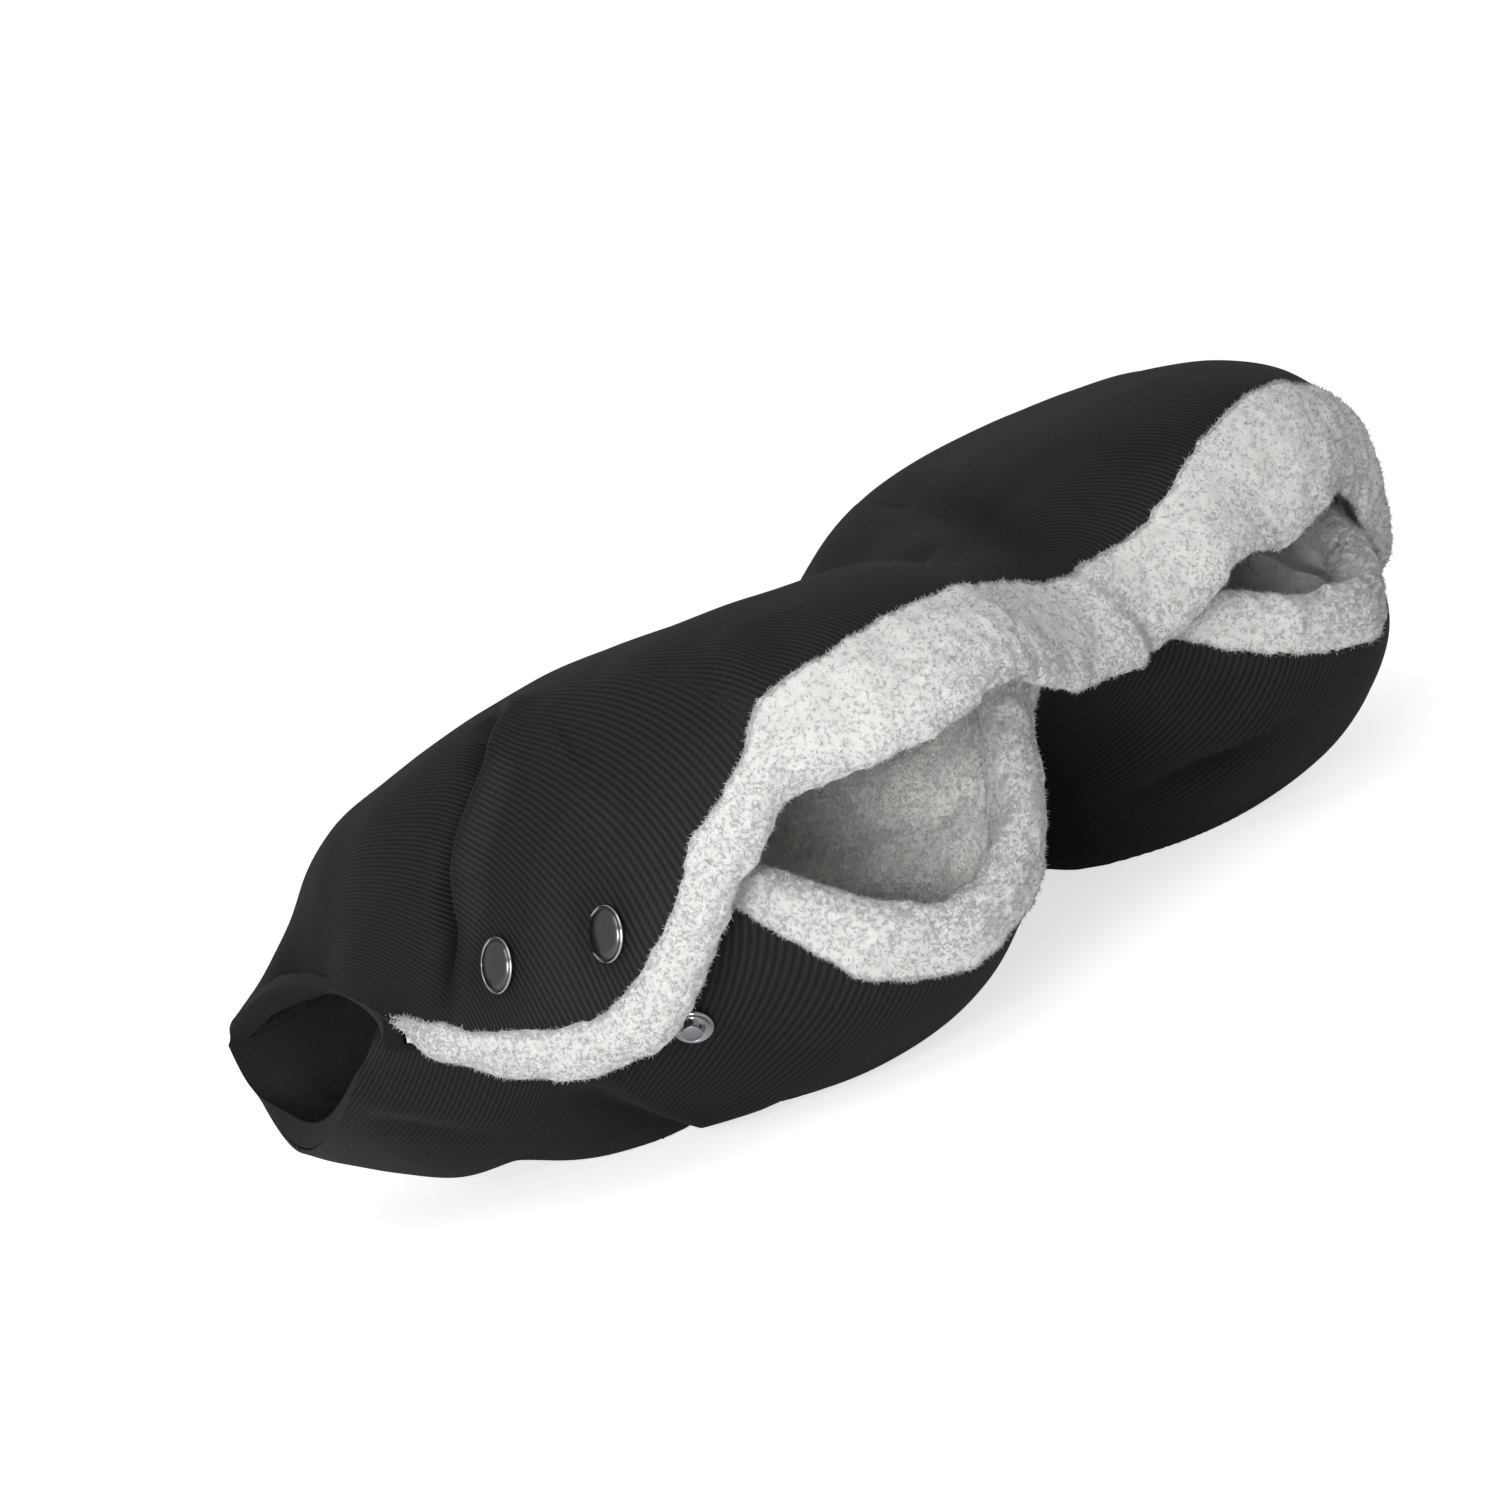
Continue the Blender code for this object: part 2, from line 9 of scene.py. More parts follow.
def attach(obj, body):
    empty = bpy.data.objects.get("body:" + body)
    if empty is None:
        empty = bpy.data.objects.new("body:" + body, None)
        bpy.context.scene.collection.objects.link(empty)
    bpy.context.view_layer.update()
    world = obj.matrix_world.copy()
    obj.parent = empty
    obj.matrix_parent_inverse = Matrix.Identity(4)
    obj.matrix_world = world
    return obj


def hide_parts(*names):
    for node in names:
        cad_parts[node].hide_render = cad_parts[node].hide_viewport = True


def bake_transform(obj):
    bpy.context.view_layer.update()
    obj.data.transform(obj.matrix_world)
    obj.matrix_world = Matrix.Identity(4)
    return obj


bl_info = {
    "name": "Stroller hand muff",
    "version": (1, 0, 0),
    "blender": (4, 5, 0),
    "location": "View3D > Sidebar > Hand muff",
    "description": "Dresses the packed hand muff in ribbed cloth, fleece and press studs",
    "category": "Object",
}

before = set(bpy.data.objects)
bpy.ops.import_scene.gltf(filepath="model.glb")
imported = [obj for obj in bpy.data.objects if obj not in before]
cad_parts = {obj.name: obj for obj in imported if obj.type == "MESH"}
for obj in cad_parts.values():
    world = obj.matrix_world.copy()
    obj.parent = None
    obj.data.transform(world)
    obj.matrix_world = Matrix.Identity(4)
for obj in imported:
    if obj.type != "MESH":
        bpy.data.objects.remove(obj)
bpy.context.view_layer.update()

# The muff's form, as in the part's source: overall sizes in metres
HALF_LENGTH = 0.188
GRIP_REACH = 0.130
SEAM_REACH = 0.112
HEIGHT = 0.142
MIDDLE_SHIFT = 0.01345
FLOOR_DROP = 0.0098
SHELL_THICKNESS = 0.0012
WADDING_THICKNESS = 0.0040
LINING_THICKNESS = 0.0060
CLEARANCE = 0.0003
TUCK_CLEARANCE = 0.0033
SEAM_PINCH_SHARE = 0.40
SEAM_EASE_SHARE = 0.30
HEM_PINCH_SHARE = 0.45
HEM_EASE_STATIONS = 1.0
NORMAL_STEP = 0.02
NORMAL_STRETCH_SHARE = 0.12

# Rows of shares of HALF_LENGTH, the panel's reach and HEIGHT, from the middle (0) to the sleeve end (8)
SEAM_SHARES = [
    (0.000, 0.45, 0.51), (0.117, 0.46, 0.51), (0.277, 0.52, 0.53),
    (0.426, 0.59, 0.54), (0.553, 0.66, 0.54), (0.628, 0.75, 0.55),
    (0.681, 0.84, 0.56), (0.728, 0.93, 0.56), (0.790, 1.05, 0.56),
]
UPPER_EDGE_SHARES = [
    (0.000, -0.89, 0.79), (0.117, -0.92, 0.80), (0.293, -0.98, 0.89),
    (0.479, -1.00, 0.90), (0.638, -0.95, 0.82), (0.777, -0.82, 0.65),
    (0.883, -0.60, 0.45), (0.947, -0.35, 0.45), (1.000, -0.09, 0.56),
]
LOWER_EDGE_SHARES = {
    1: (0.128, -0.85, 0.62), 2: (0.293, -0.96, 0.39), 3: (0.470, -0.97, 0.30),
    4: (0.620, -0.88, 0.39), 5: (0.713, -0.71, 0.56),
}
TUCK_SHARES = {0: (0.985, 0.19), 6: (0.84, 0.50), 7: (0.82, 0.50), 8: (0.86, 0.28)}
UPPER_SEAM_HANDLE_SHARES = (0.86, 0.90, 0.98, 1.01, 1.01, 0.98, 0.92, 0.82, 0.68)
UPPER_CREST_SHARES = [
    (0.97, 0.93), (0.96, 0.98), (0.90, 1.06), (0.88, 1.10), (0.88, 1.13),
    (0.90, 1.11), (0.92, 1.06), (0.95, 0.89), (0.80, 0.64),
]
LOWER_SEAM_HANDLE_SHARES = (0.06, 0.02, -0.04, -0.09, -0.14, -0.22, -0.22, -0.12, 0.04)
LOWER_BELLY_SHARES = {1: (0.97, 0.34), 2: (0.87, 0.02), 3: (0.88, -0.04), 4: (0.94, 0.00), 5: (1.04, 0.10)}
LAST = len(SEAM_SHARES) - 1
PATH_MIRROR = np.array((-1, 1, 1))
SIDES = {"near": -1, "far": 1}
SNAP_PLACES = {"rear": (6.75, 0.885), "front": (5.84, 0.93)}
SPARE_PLACE = (5.40, 0.79)
PUCKER_SLOPE = 0.40
PUCKER_REACH = 0.015
CAP_WAY = (0.65, 0.66, 0.38)
ROLL_WIDTH = 0.013
ROLL_REACH = {"upper": (0.0, 7.95), "lower": (0.55, 5.25)}
ROLL_TIP_STATIONS = 0.4
FAR_CURL = 3.2

# Where the fleece starts and ends beyond the panel's edge: (station, start, end) in ROLL_WIDTHs
UPPER_BAND_SHARES = [
    (-8.0, -0.05, 0.35), (-7.5, -0.08, 0.50), (-7.0, -0.12, 0.80), (-6.0, -0.10, 0.85),
    (-5.5, -0.10, 0.70), (-5.3, -0.05, 0.65), (-5.15, -0.40, 0.50), (-4.5, -0.30, 0.60),
    (-4.35, -0.25, 0.70), (-4.15, -0.60, 1.30), (-3.9, -0.50, 1.75), (-3.5, -0.15, 2.20),
    (-3.0, 0.10, 2.30),
    (-2.5, 0.30, 2.30), (-2.0, 0.40, 2.30), (-1.5, 0.10, 2.30), (-1.0, -0.20, 2.25),
    (-0.5, 0.25, 2.20), (-0.1, 0.45, 2.45), (0.3, 0.25, 2.20), (1.0, 0.40, 2.20), (1.5, 0.45, 2.10),
    (2.0, 0.25, 2.00), (2.5, 0.05, 2.00), (3.0, 0.00, 1.90), (3.6, 0.00, 1.65), (4.2, 0.00, 1.60),
    (4.8, 0.00, 1.60), (5.4, 0.00, 1.40), (6.0, -0.10, 1.00), (7.0, -0.12, 0.80), (8.0, -0.05, 0.35),
]
LOWER_BAND_SHARES = [
    (-8.0, 0.00, 0.40), (-5.4, 0.00, 0.40), (-5.0, -0.10, 0.50), (-4.5, -0.45, 0.60), (-4.0, -0.70, 0.60),
    (-3.5, -0.60, 0.60), (-3.0, -0.35, 0.70), (-2.5, -0.40, 0.75), (-2.0, -0.60, 0.75),
    (-1.5, -0.75, 0.70), (-0.5, -0.80, 0.60), (0.0, -0.30, 0.50), (0.6, 0.00, 0.60), (1.0, 0.00, 0.80),
    (1.5, 0.25, 1.20), (2.0, 0.75, 1.70), (2.5, 1.00, 1.95), (3.0, 1.10, 2.05), (3.5, 1.15, 2.05),
    (4.0, 0.90, 1.80), (4.5, 0.60, 1.50), (5.0, 0.30, 1.10), (5.4, 0.00, 0.60), (8.0, 0.00, 0.40),
]
# A cap's rolled rim and the groove inside it, as shares of its radius and of the rim's height
CAP_RIM_SHARES = [(0.00, 0.0), (0.94, 0.0), (0.985, 0.3), (1.00, 0.8), (0.985, 1.3), (0.95, 1.5),
                  (0.92, 1.3), (0.90, 0.8), (0.88, 0.7)]
# The spare stud's rolled ring, dish and head, as shares of its radius and height
STUD_SHARES = [(0.00, 0.00), (0.96, 0.00), (1.00, 0.12), (0.98, 0.30), (0.90, 0.38), (0.80, 0.32),
               (0.72, 0.16), (0.62, 0.12), (0.55, 0.16), (0.47, 0.40), (0.40, 0.62), (0.44, 0.76),
               (0.45, 0.88), (0.36, 0.98), (0.18, 1.00), (0.00, 1.00)]
EDGE_SHIFT_FROM_SHARE = 0.70
CORNER_SAG = 0.013
CORNER_SAG_REACH = 0.055
HEM_STATIONS = 1.1
HEM_BACK_STRETCH = 2.2
BILLOW_HEIGHT = 0.038
HEM_TURN_STATIONS = 0.14
# Valley depth at which the painted shade in a fold is darkest
CREASE_SHADE_DEPTH = 0.0050

# Grid steps: columns for each station (in a hem, for its whole depth), and rows across
SHELL_STEPS = (24, 200)
LINING_STEPS = (22, 170)
HEM_STEPS = (120, 90)
ROLL_FACETS = 96
METAL_FACETS = 48

# Lumps of the cloth: (height, size, seed); an edge's heights are shares of the fleece's own setting
SHELL_LUMPS = [(0.0011, 0.045, 3), (0.0005, 0.018, 5)]
LINING_LUMPS = [(0.0012, 0.014, 11), (0.0007, 0.0055, 13), (0.0004, 0.0030, 17)]
EDGE_LUMPS = [(1.0, 0.009, 0), (0.7, 0.0038, 1), (0.3, 0.0019, 2)]

# Where an effect fades in, as (start, width), or in and out, as (start, width, end, width)
TONGUE_STATIONS = (4.0, 0.35)
FLAP_COVER_STATIONS = (4.2, 0.8)
FLAP_COVER_SHARES = (0.6, 0.2)
BILLOW_SHARES = (0.20, 0.14, 0.97, 0.60)
BILLOW_STATIONS = (-2.05, 0.60, 0.5, 0.6)
FAR_CURL_STATIONS = (1.3, 0.8, 6.4, 1.6)

TONGUE_LIE_SHARE = 0.03
SLACK_SEAM_SHARE = 0.1
SLACK_END_STATIONS = 0.4
SLACK_END_LEAST = 0.2
SNAP_CALM_REACH = 0.016
SNAP_CALM_START = 0.3
LINING_SEAM_SHARE = 0.15
PILE_START_SHARE = 0.22
HEM_OVERLAP_STATIONS = 0.3
HEM_OVERLAP_RISE = 0.25
HEM_FOLD_STATIONS = 0.02
HEM_SEAM_SHARE = 0.014
HEM_SEAM_FALL = 0.008
HEM_TOP_GAP = 0.0008
HEM_UNDER_GAP = 0.0024

ROLL_MEASURE_STEPS = 60
ROLL_TIP_LEAST = 0.05
ROLL_MIDDLE_LEAST = 0.3
ROLL_TIP_DEPTH = 0.3
ROLL_TIP_WIDTH = 0.1
ROLL_ROUNDNESS = 0.8
ROLL_SINK_SHARE = 0.6
ROLL_PILE_TURN = -0.9
EDGE_PROBE_SHARE = 0.05
WIDEST_BAND = 2.3

TUFT_RISE = 0.40
TUFT_SCATTER = 0.8
TUFT_LEAST_RISE = 0.15
TUFT_LENGTHS = (0.5, 1.3)
WEFT_RATE = 5.2
WEFT_HEIGHT = 0.12

CAP_RIM_HEIGHT = 0.0006
CAP_DOME_SHARE = 0.87
CAP_DOME_DEGREES = range(8, 81, 12)

FLOOR_TONE = 0.86
FLOOR_REACH = 40 * HALF_LENGTH
FLOOR_GAP = 0.0004
AIM_HEIGHT = 0.070
AIM_PIXEL = (829.35, 770.65)
FOCAL_PIXELS = 4000
HALF_FRAME_PIXELS = 750
SENSOR_WIDTH = 36
# Each light's way from the aim, along the camera's back, left and (for the key) up, then its size
KEY_LIGHT = (1.0, 0.4, 0.8, 0.8)
FRONT_LIGHT = (1.2, 0.3, 0.5)
LIGHT_TARGET = (0, 0, 0.06)


def level(share):
    return np.array(share) * HEIGHT - FLOOR_DROP


def path(shares, reach):
    drawn = np.array(shares, float) * (HALF_LENGTH, reach, HEIGHT)
    return drawn + (0, MIDDLE_SHIFT, -FLOOR_DROP)


def ease(share):
    share = np.clip(share, 0, 1)
    return share * share * (3 - 2 * share)


def ramp(values, start, width):
    """0 up to the start and 1 from the given width beyond it, eased."""
    return ease((values - start) / width)


def window(values, start, rise, end, fall, height=1):
    """The height inside a range and 0 outside it, eased at both of the range's ends."""
    return height * ramp(values, start, rise) * ease((end - values) / fall)


def smooth_rows(rows, stations):
    """Reads a table as one smooth curve at many stations; the near half mirrors the far one."""
    place = np.abs(stations)
    first = np.clip(np.floor(place).astype(int), 0, LAST - 1)
    along = (place - first)[..., None]
    start, end = rows[first], rows[first + 1]
    before = np.where(first[..., None] > 0, rows[np.maximum(first - 1, 0)], rows[1] * PATH_MIRROR)
    after = np.where(first[..., None] + 2 <= LAST, rows[np.minimum(first + 2, LAST)], 2 * end - start)
    start_slope, end_slope = (end - before) / 2, (after - start) / 2
    square, cube = along ** 2, along ** 3
    value = ((2 * cube - 3 * square + 1) * start + (cube - 2 * square + along) * start_slope
             + (3 * square - 2 * cube) * end + (cube - square) * end_slope)
    value[..., 0] *= np.where(stations < 0, -1, 1)
    return value


def depth_at(depth, stations, shares):
    firm, soft = depth
    seam = SEAM_PINCH_SHARE + (1 - SEAM_PINCH_SHARE) * ease(shares / SEAM_EASE_SHARE)
    inset = (LAST - np.abs(stations)) / HEM_EASE_STATIONS
    hem = HEM_PINCH_SHARE + (1 - HEM_PINCH_SHARE) * ease(inset)
    return (firm + soft * seam * hem)[..., None]


def below_panel(depth):
    return (SHELL_THICKNESS + 2 * CLEARANCE + depth, WADDING_THICKNESS + LINING_THICKNESS)


def unit(vectors):
    return vectors / np.maximum(np.linalg.norm(vectors, axis=-1, keepdims=True), 1e-12)


class Panel:
    """One panel's outer face, at many (station, share) places at once."""

    def __init__(self, outward, edge, seam_heights, handles, band):
        self.outward = outward
        self.band_rows = np.array(band)
        self.seam = path(SEAM_SHARES, SEAM_REACH)
        self.seam[:, 2] += outward * CLEARANCE / 2
        self.first = np.column_stack([self.seam[:, :2], level(seam_heights)])
        self.last = handles
        self.edge = edge

    def points(self, stations, shares):
        seam, first, last, edge = (smooth_rows(row, stations)
                                   for row in (self.seam, self.first, self.last, self.edge))
        shares = shares[..., None]
        back = 1 - shares
        spots = (back ** 3 * seam + 3 * back ** 2 * shares * first
                 + 3 * back * shares ** 2 * last + shares ** 3 * edge)
        mirrored = np.concatenate([np.abs(spots[..., :1]), spots[..., 1:]], -1)
        from_corner = np.linalg.norm(mirrored - self.seam[LAST], axis=-1)
        spots[..., 2] -= CORNER_SAG * np.exp(-(from_corner / CORNER_SAG_REACH) ** 2)
        spots[..., 2] = np.maximum(spots[..., 2], 0)
        return spots

    def band(self, stations):
        """Where the fleece starts and ends beyond the edge, in metres, evened a little."""
        table = self.band_rows
        spread = [stations + step for step in (-0.1, 0, 0.1)]
        return [ROLL_WIDTH * sum(np.interp(s, table[:, 0], table[:, k]) for s in spread) / 3
                for k in (1, 2)]

    def cloth(self, stations, shares):
        """Points, normals and ways to the edge, with the edge moved to where the fleece starts."""
        spots, out, edgeward = self.frames(stations, shares)
        start, _ = self.band(np.asarray(stations, float))
        part = (np.asarray(shares, float) - EDGE_SHIFT_FROM_SHARE) / (1 - EDGE_SHIFT_FROM_SHARE)
        return spots + edgeward * (np.maximum(start, 0) * ease(part))[..., None], out, edgeward

    def frames(self, stations, shares):
        """Points on the face, their outward normals, and the ways to the edge."""
        stations, shares = np.broadcast_arrays(np.asarray(stations, float), np.asarray(shares, float))
        stretch = NORMAL_STRETCH_SHARE * np.maximum(shares, NORMAL_STEP)
        ahead = np.minimum(shares + stretch, 1)
        across = self.points(stations, ahead) - self.points(stations, np.maximum(shares - stretch, 0))
        run = (self.points(np.minimum(stations + NORMAL_STEP, LAST), shares)
               - self.points(np.maximum(stations - NORMAL_STEP, -LAST), shares))
        out = np.cross(across, run) * self.outward
        edgeward = np.cross(run, out) * self.outward
        return self.points(stations, shares), unit(out), unit(edgeward)


def handles_between(seam, edge, share, height):
    return np.append(seam[:2] + (edge[:2] - seam[:2]) * share, level(height))


def upper_panel():
    seam = path(SEAM_SHARES, SEAM_REACH)
    edge = path(UPPER_EDGE_SHARES, GRIP_REACH)
    handles = [handles_between(seam[k], edge[k], *UPPER_CREST_SHARES[k]) for k in range(LAST + 1)]
    return Panel(1, edge, UPPER_SEAM_HANDLE_SHARES, np.array(handles), UPPER_BAND_SHARES)


def lower_panel(upper):
    seam = path(SEAM_SHARES, SEAM_REACH)
    edge, handles = np.zeros_like(seam), np.zeros_like(seam)
    for k, shares in LOWER_EDGE_SHARES.items():
        edge[k] = path(shares, GRIP_REACH)
        handles[k] = handles_between(seam[k], edge[k], *LOWER_BELLY_SHARES[k])
    for k, (share, length) in TUCK_SHARES.items():
        spot, out, edgeward = (row[0] for row in upper.frames([float(k)], [share]))
        edge[k] = spot - out * depth_at(below_panel(TUCK_CLEARANCE), np.array(k), np.array(share))
        handles[k] = edge[k] + edgeward * length * HEIGHT
    return Panel(-1, edge, LOWER_SEAM_HANDLE_SHARES, handles, LOWER_BAND_SHARES)


UPPER = upper_panel()
LOWER = lower_panel(UPPER)

# Swellings of the lining into the muff: (station, share of the way across, radius, height)
UPPER_SWELLS = [(4.9, 0.72, 0.042, 0.034), (3.6, 0.82, 0.030, 0.014)]
LOWER_SWELLS = [(-2.3, 0.72, 0.026, 0.006), (5.2, 0.88, 0.036, 0.026), (6.2, 0.84, 0.036, 0.034),
                (4.2, 0.78, 0.030, 0.016)]
SHELL_SWELLS = {"upper": [(2.7, 0.33, 0.036, 0.0070), (-2.3, 0.60, 0.030, -0.0030),
                          (-6.3, 0.31, 0.040, 0.0030), (-8.0, 0.50, 0.034, -0.0075)],
                "lower": [(2.3, 0.52, 0.034, 0.0050), (-5.3, 0.42, 0.030, 0.0030)]}

# Folds in the cloth: (station, share of the way across) points, then the height and width in metres of
# the ridge on the line's right hand and of the valley on its left hand, seen from outside, and how
# much steeper the valley's wall is on the ridge's side
UPPER_FOLDS = [
    ([(-7.45, 0.97), (-6.82, 0.80), (-6.45, 0.735), (-6.10, 0.70), (-5.40, 0.65), (-4.70, 0.585),
      (-4.40, 0.53)], 0.0052, 0.0048, 0.0100, 0.0060, 2.6),
    ([(2.45, 0.36), (1.7, 0.50), (0.9, 0.66), (0.0, 0.84), (-0.85, 0.97)],
     0.0026, 0.0100, 0.0034, 0.0080, 1.2),
    ([(-2.2, 0.74), (-1.4, 0.72), (0.0, 0.66), (1.0, 0.44)], 0.0016, 0.0070, 0.0014, 0.0070, 1.2),
    ([(-3.3, 0.80), (-3.7, 0.87), (-4.05, 0.95)], 0.0008, 0.0070, 0.0016, 0.0070, 1.2),
    ([(-4.55, 0.64), (-5.25, 0.83), (-5.45, 0.95)], 0.0012, 0.0080, 0.0008, 0.0080, 1.2),
]
LOWER_FOLDS = [
    ([(-4.0, 0.70), (-4.1, 0.64), (-4.45, 0.56), (-5.45, 0.61), (-6.0, 0.67), (-6.3, 0.72)],
     0.0022, 0.0060, 0.0036, 0.0080, 1.2),
    ([(-6.75, 0.67), (-7.55, 0.71), (-7.95, 0.72)], 0.0010, 0.0070, 0.0012, 0.0060, 1.2),
    ([(2.3, 0.98), (1.7, 0.80), (1.4, 0.62)], 0.0022, 0.0080, 0.0026, 0.0070, 1.2),
]
LINING_FOLDS = [
    ([(-1.20, 0.38), (-1.12, 0.60), (-1.15, 0.75), (-1.45, 0.97)], 0.0040, 0.0090, 0.0045, 0.0060, 1.2),
    ([(-1.70, 0.45), (-1.65, 0.65), (-2.00, 0.95)], 0.0025, 0.0080, 0.0025, 0.0060, 1.2),
    ([(-2.40, 0.60), (-2.30, 0.75), (-2.60, 0.92)], 0.0020, 0.0080, 0.0020, 0.0060, 1.2),
    ([(-0.10, 0.50), (-0.30, 0.70), (-0.60, 0.90)], 0.0020, 0.0090, 0.0020, 0.0070, 1.2),
    ([(2.3, 0.80), (3.4, 0.74), (4.6, 0.76)], 0.0040, 0.0080, 0.0030, 0.0070, 1.2),
]


def lattice(corner, seed):
    """A repeatable value from -1 to 1 at each whole-number corner."""
    mixed = corner @ np.array((127.1, 311.7, 74.7)) + seed * 19.19
    return 2 * np.modf(np.abs(np.sin(mixed) * 43758.5453))[0] - 1


def soft_noise(spots, size, seed=0):
    """Smooth noise from -1 to 1, with lumps of the given size in metres."""
    scaled = spots / size + seed * 7.3
    corner = np.floor(scaled)
    part = ease(scaled - corner)
    total = np.zeros(spots.shape[:-1])
    for steps in np.ndindex(2, 2, 2):
        weight = np.prod(np.where(steps, part, 1 - part), axis=-1)
        total += weight * lattice(corner + steps, seed)
    return total


def lumpiness(spots, rows, seed=0):
    """The soft noises of all the rows, added up."""
    return sum(height * soft_noise(spots, size, seed + shift) for height, size, shift in rows)


def fold_relief(panel, folds, spots):
    """Height of the folds: a ridge along one side of each fold's line, a valley on the other."""
    relief = np.zeros(spots.shape[:-1])
    for places, ridge, ridge_width, valley, valley_width, steepness in folds:
        stations, shares = np.array(places).T
        line, out, _ = panel.frames(stations, shares)
        nearest = np.full(relief.shape, np.inf)
        side, along = np.zeros(relief.shape), np.zeros(relief.shape)
        for k in range(len(line) - 1):
            leg = line[k + 1] - line[k]
            share = np.clip(((spots - line[k]) @ leg) / (leg @ leg), 0, 1)
            away = spots - line[k] - share[..., None] * leg
            distance = np.linalg.norm(away, axis=-1)
            closer = distance < nearest
            nearest = np.where(closer, distance, nearest)
            side = np.where(closer, np.sign(away @ np.cross(leg, out[k] + out[k + 1])), side)
            along = np.where(closer, (k + share) / (len(line) - 1), along)
        across = nearest * side
        fade = np.sin(np.pi * np.clip(along, 0.01, 0.99))
        beyond = across / valley_width + 0.5
        beyond = np.where(beyond > 0, beyond * steepness, beyond)
        relief += fade * (ridge * np.exp(-(across / ridge_width - 0.9) ** 2)
                          - valley * np.exp(-beyond ** 2))
    return relief


def swell_relief(panel, swells, spots):
    relief = np.zeros(spots.shape[:-1])
    for station, share, radius, height in swells:
        centre = panel.points(np.array([station]), np.array([share]))[0]
        relief += height * np.exp(-(np.linalg.norm(spots - centre, axis=-1) / radius) ** 2)
    return relief


def near_snaps(panel, spots):
    """1 away from the press studs and 0 on them, so that the cloth lies flat under a cap."""
    calm = np.ones(spots.shape[:-1])
    for side in SIDES.values():
        places = SNAP_PLACES.values() if panel is UPPER else [SPARE_PLACE]
        for station, share in places:
            centre = panel.points(np.array([side * station]), np.array([share]))[0]
            away = np.linalg.norm(spots - centre, axis=-1)
            calm *= ease(away / SNAP_CALM_REACH - SNAP_CALM_START)
    return calm


def pucker(spots):
    """How the cloth round each cap leans outwards with it."""
    relief = np.zeros(spots.shape[:-1])
    for side in SIDES.values():
        for station, share in SNAP_PLACES.values():
            away = spots - UPPER.points(np.array([side * station]), np.array([share]))[0]
            near = np.exp(-(np.linalg.norm(away, axis=-1) / PUCKER_REACH) ** 2)
            relief -= PUCKER_SLOPE * (away @ (CAP_WAY * np.array((side, 1, 1)))) * near
    return relief


def shell_relief(panel, stations, shares, spots):
    folds = UPPER_FOLDS if panel is UPPER else LOWER_FOLDS
    slack = lumpiness(spots, SHELL_LUMPS)
    slack *= (ease(shares / SLACK_SEAM_SHARE)
              * ease((LAST - np.abs(stations)) / SLACK_END_STATIONS + SLACK_END_LEAST))
    swells = SHELL_SWELLS["upper" if panel is UPPER else "lower"]
    relief = slack + fold_relief(panel, folds, spots) + swell_relief(panel, swells, spots)
    relief = relief * near_snaps(panel, spots)
    if panel is UPPER:
        relief = relief + pucker(spots)
    return relief[..., None]


def pressed_in(panel, stations, shares, spots):
    """How far the lining gives way under the shell's deepest folds."""
    return np.maximum(-shell_relief(panel, stations, shares, spots) - WADDING_THICKNESS / 2, 0)


def link(name, mesh, mat, body, sharp=50):
    obj = bpy.data.objects.new(name, mesh)
    bpy.context.scene.collection.objects.link(obj)
    mesh.materials.append(mat)
    mesh.shade_smooth()
    if sharp:
        mesh.set_sharp_from_angle(angle=math.radians(sharp))
    if body is not None:
        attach(obj, body)
    return obj


def flex(obj):
    """Bakes a piece of the upper panel's placement into its mesh."""
    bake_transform(obj)


def mesh_from(name, verts, faces, cloth=None, marks=None):
    """A mesh with cloth coordinates, in metres, as its UV map, and marks as point attributes by name."""
    mesh = bpy.data.meshes.new(name)
    mesh.from_pydata(verts.tolist(), [], faces.tolist() if hasattr(faces, "tolist") else faces)
    if cloth is not None:
        layer = mesh.uv_layers.new(name="cloth")
        corners = np.zeros(len(mesh.loops), dtype=np.int32)
        mesh.loops.foreach_get("vertex_index", corners)
        layer.data.foreach_set("uv", cloth[corners].astype(np.float32).ravel())
    for label, values in (marks or {}).items():
        mesh.attributes.new(label, "FLOAT", "POINT").data.foreach_set("value", values.astype(np.float32))
    return mesh


def grid_faces(rows, columns, offset=0, flip=False):
    index = np.arange(rows * columns).reshape(rows, columns) + offset
    faces = np.stack([index[:-1, :-1], index[:-1, 1:], index[1:, 1:], index[1:, :-1]], -1).reshape(-1, 4)
    return faces[:, ::-1] if flip else faces


def sheet_mesh(name, outer, inner, outward, cloth, marks=None):
    """A closed sheet between an outer and an inner grid."""
    rows, columns = outer.shape[:2]
    count = rows * columns
    index = np.arange(count).reshape(rows, columns)
    rim = np.concatenate([index[:, 0], index[-1, 1:], index[-2::-1, -1], index[0, -2:0:-1]])
    after = np.roll(rim, -1)
    sides = np.stack([rim, after, after + count, rim + count], -1)
    faces = np.concatenate([grid_faces(rows, columns), grid_faces(rows, columns, count, True),
                            sides[:, ::-1]])
    if outward < 0:
        faces = faces[:, ::-1]
    verts = np.concatenate([outer.reshape(-1, 3), inner.reshape(-1, 3)])
    doubled = {label: np.tile(values.ravel(), 2) for label, values in (marks or {}).items()}
    return mesh_from(name, verts, faces, np.tile(cloth.reshape(-1, 2), (2, 1)), doubled)


def places(first, last, per_station, across):
    count = int(round((last - first) * per_station)) + 1
    return np.meshgrid(np.linspace(first, last, count), np.linspace(0, 1, across), indexing="ij")


def cloth_lengths(spots):
    """Lengths along and across the cloth, in metres, for the weave to follow."""
    middle = spots.shape[1] // 2
    steps = np.linalg.norm(np.diff(spots[:, middle], axis=0), axis=-1)
    along = np.concatenate([[0], np.cumsum(steps)])[:, None] * np.ones(spots.shape[1])
    across = np.concatenate([np.zeros((spots.shape[0], 1)),
                             np.cumsum(np.linalg.norm(np.diff(spots, axis=1), axis=-1), axis=1)], axis=1)
    return np.stack([along, across], -1)


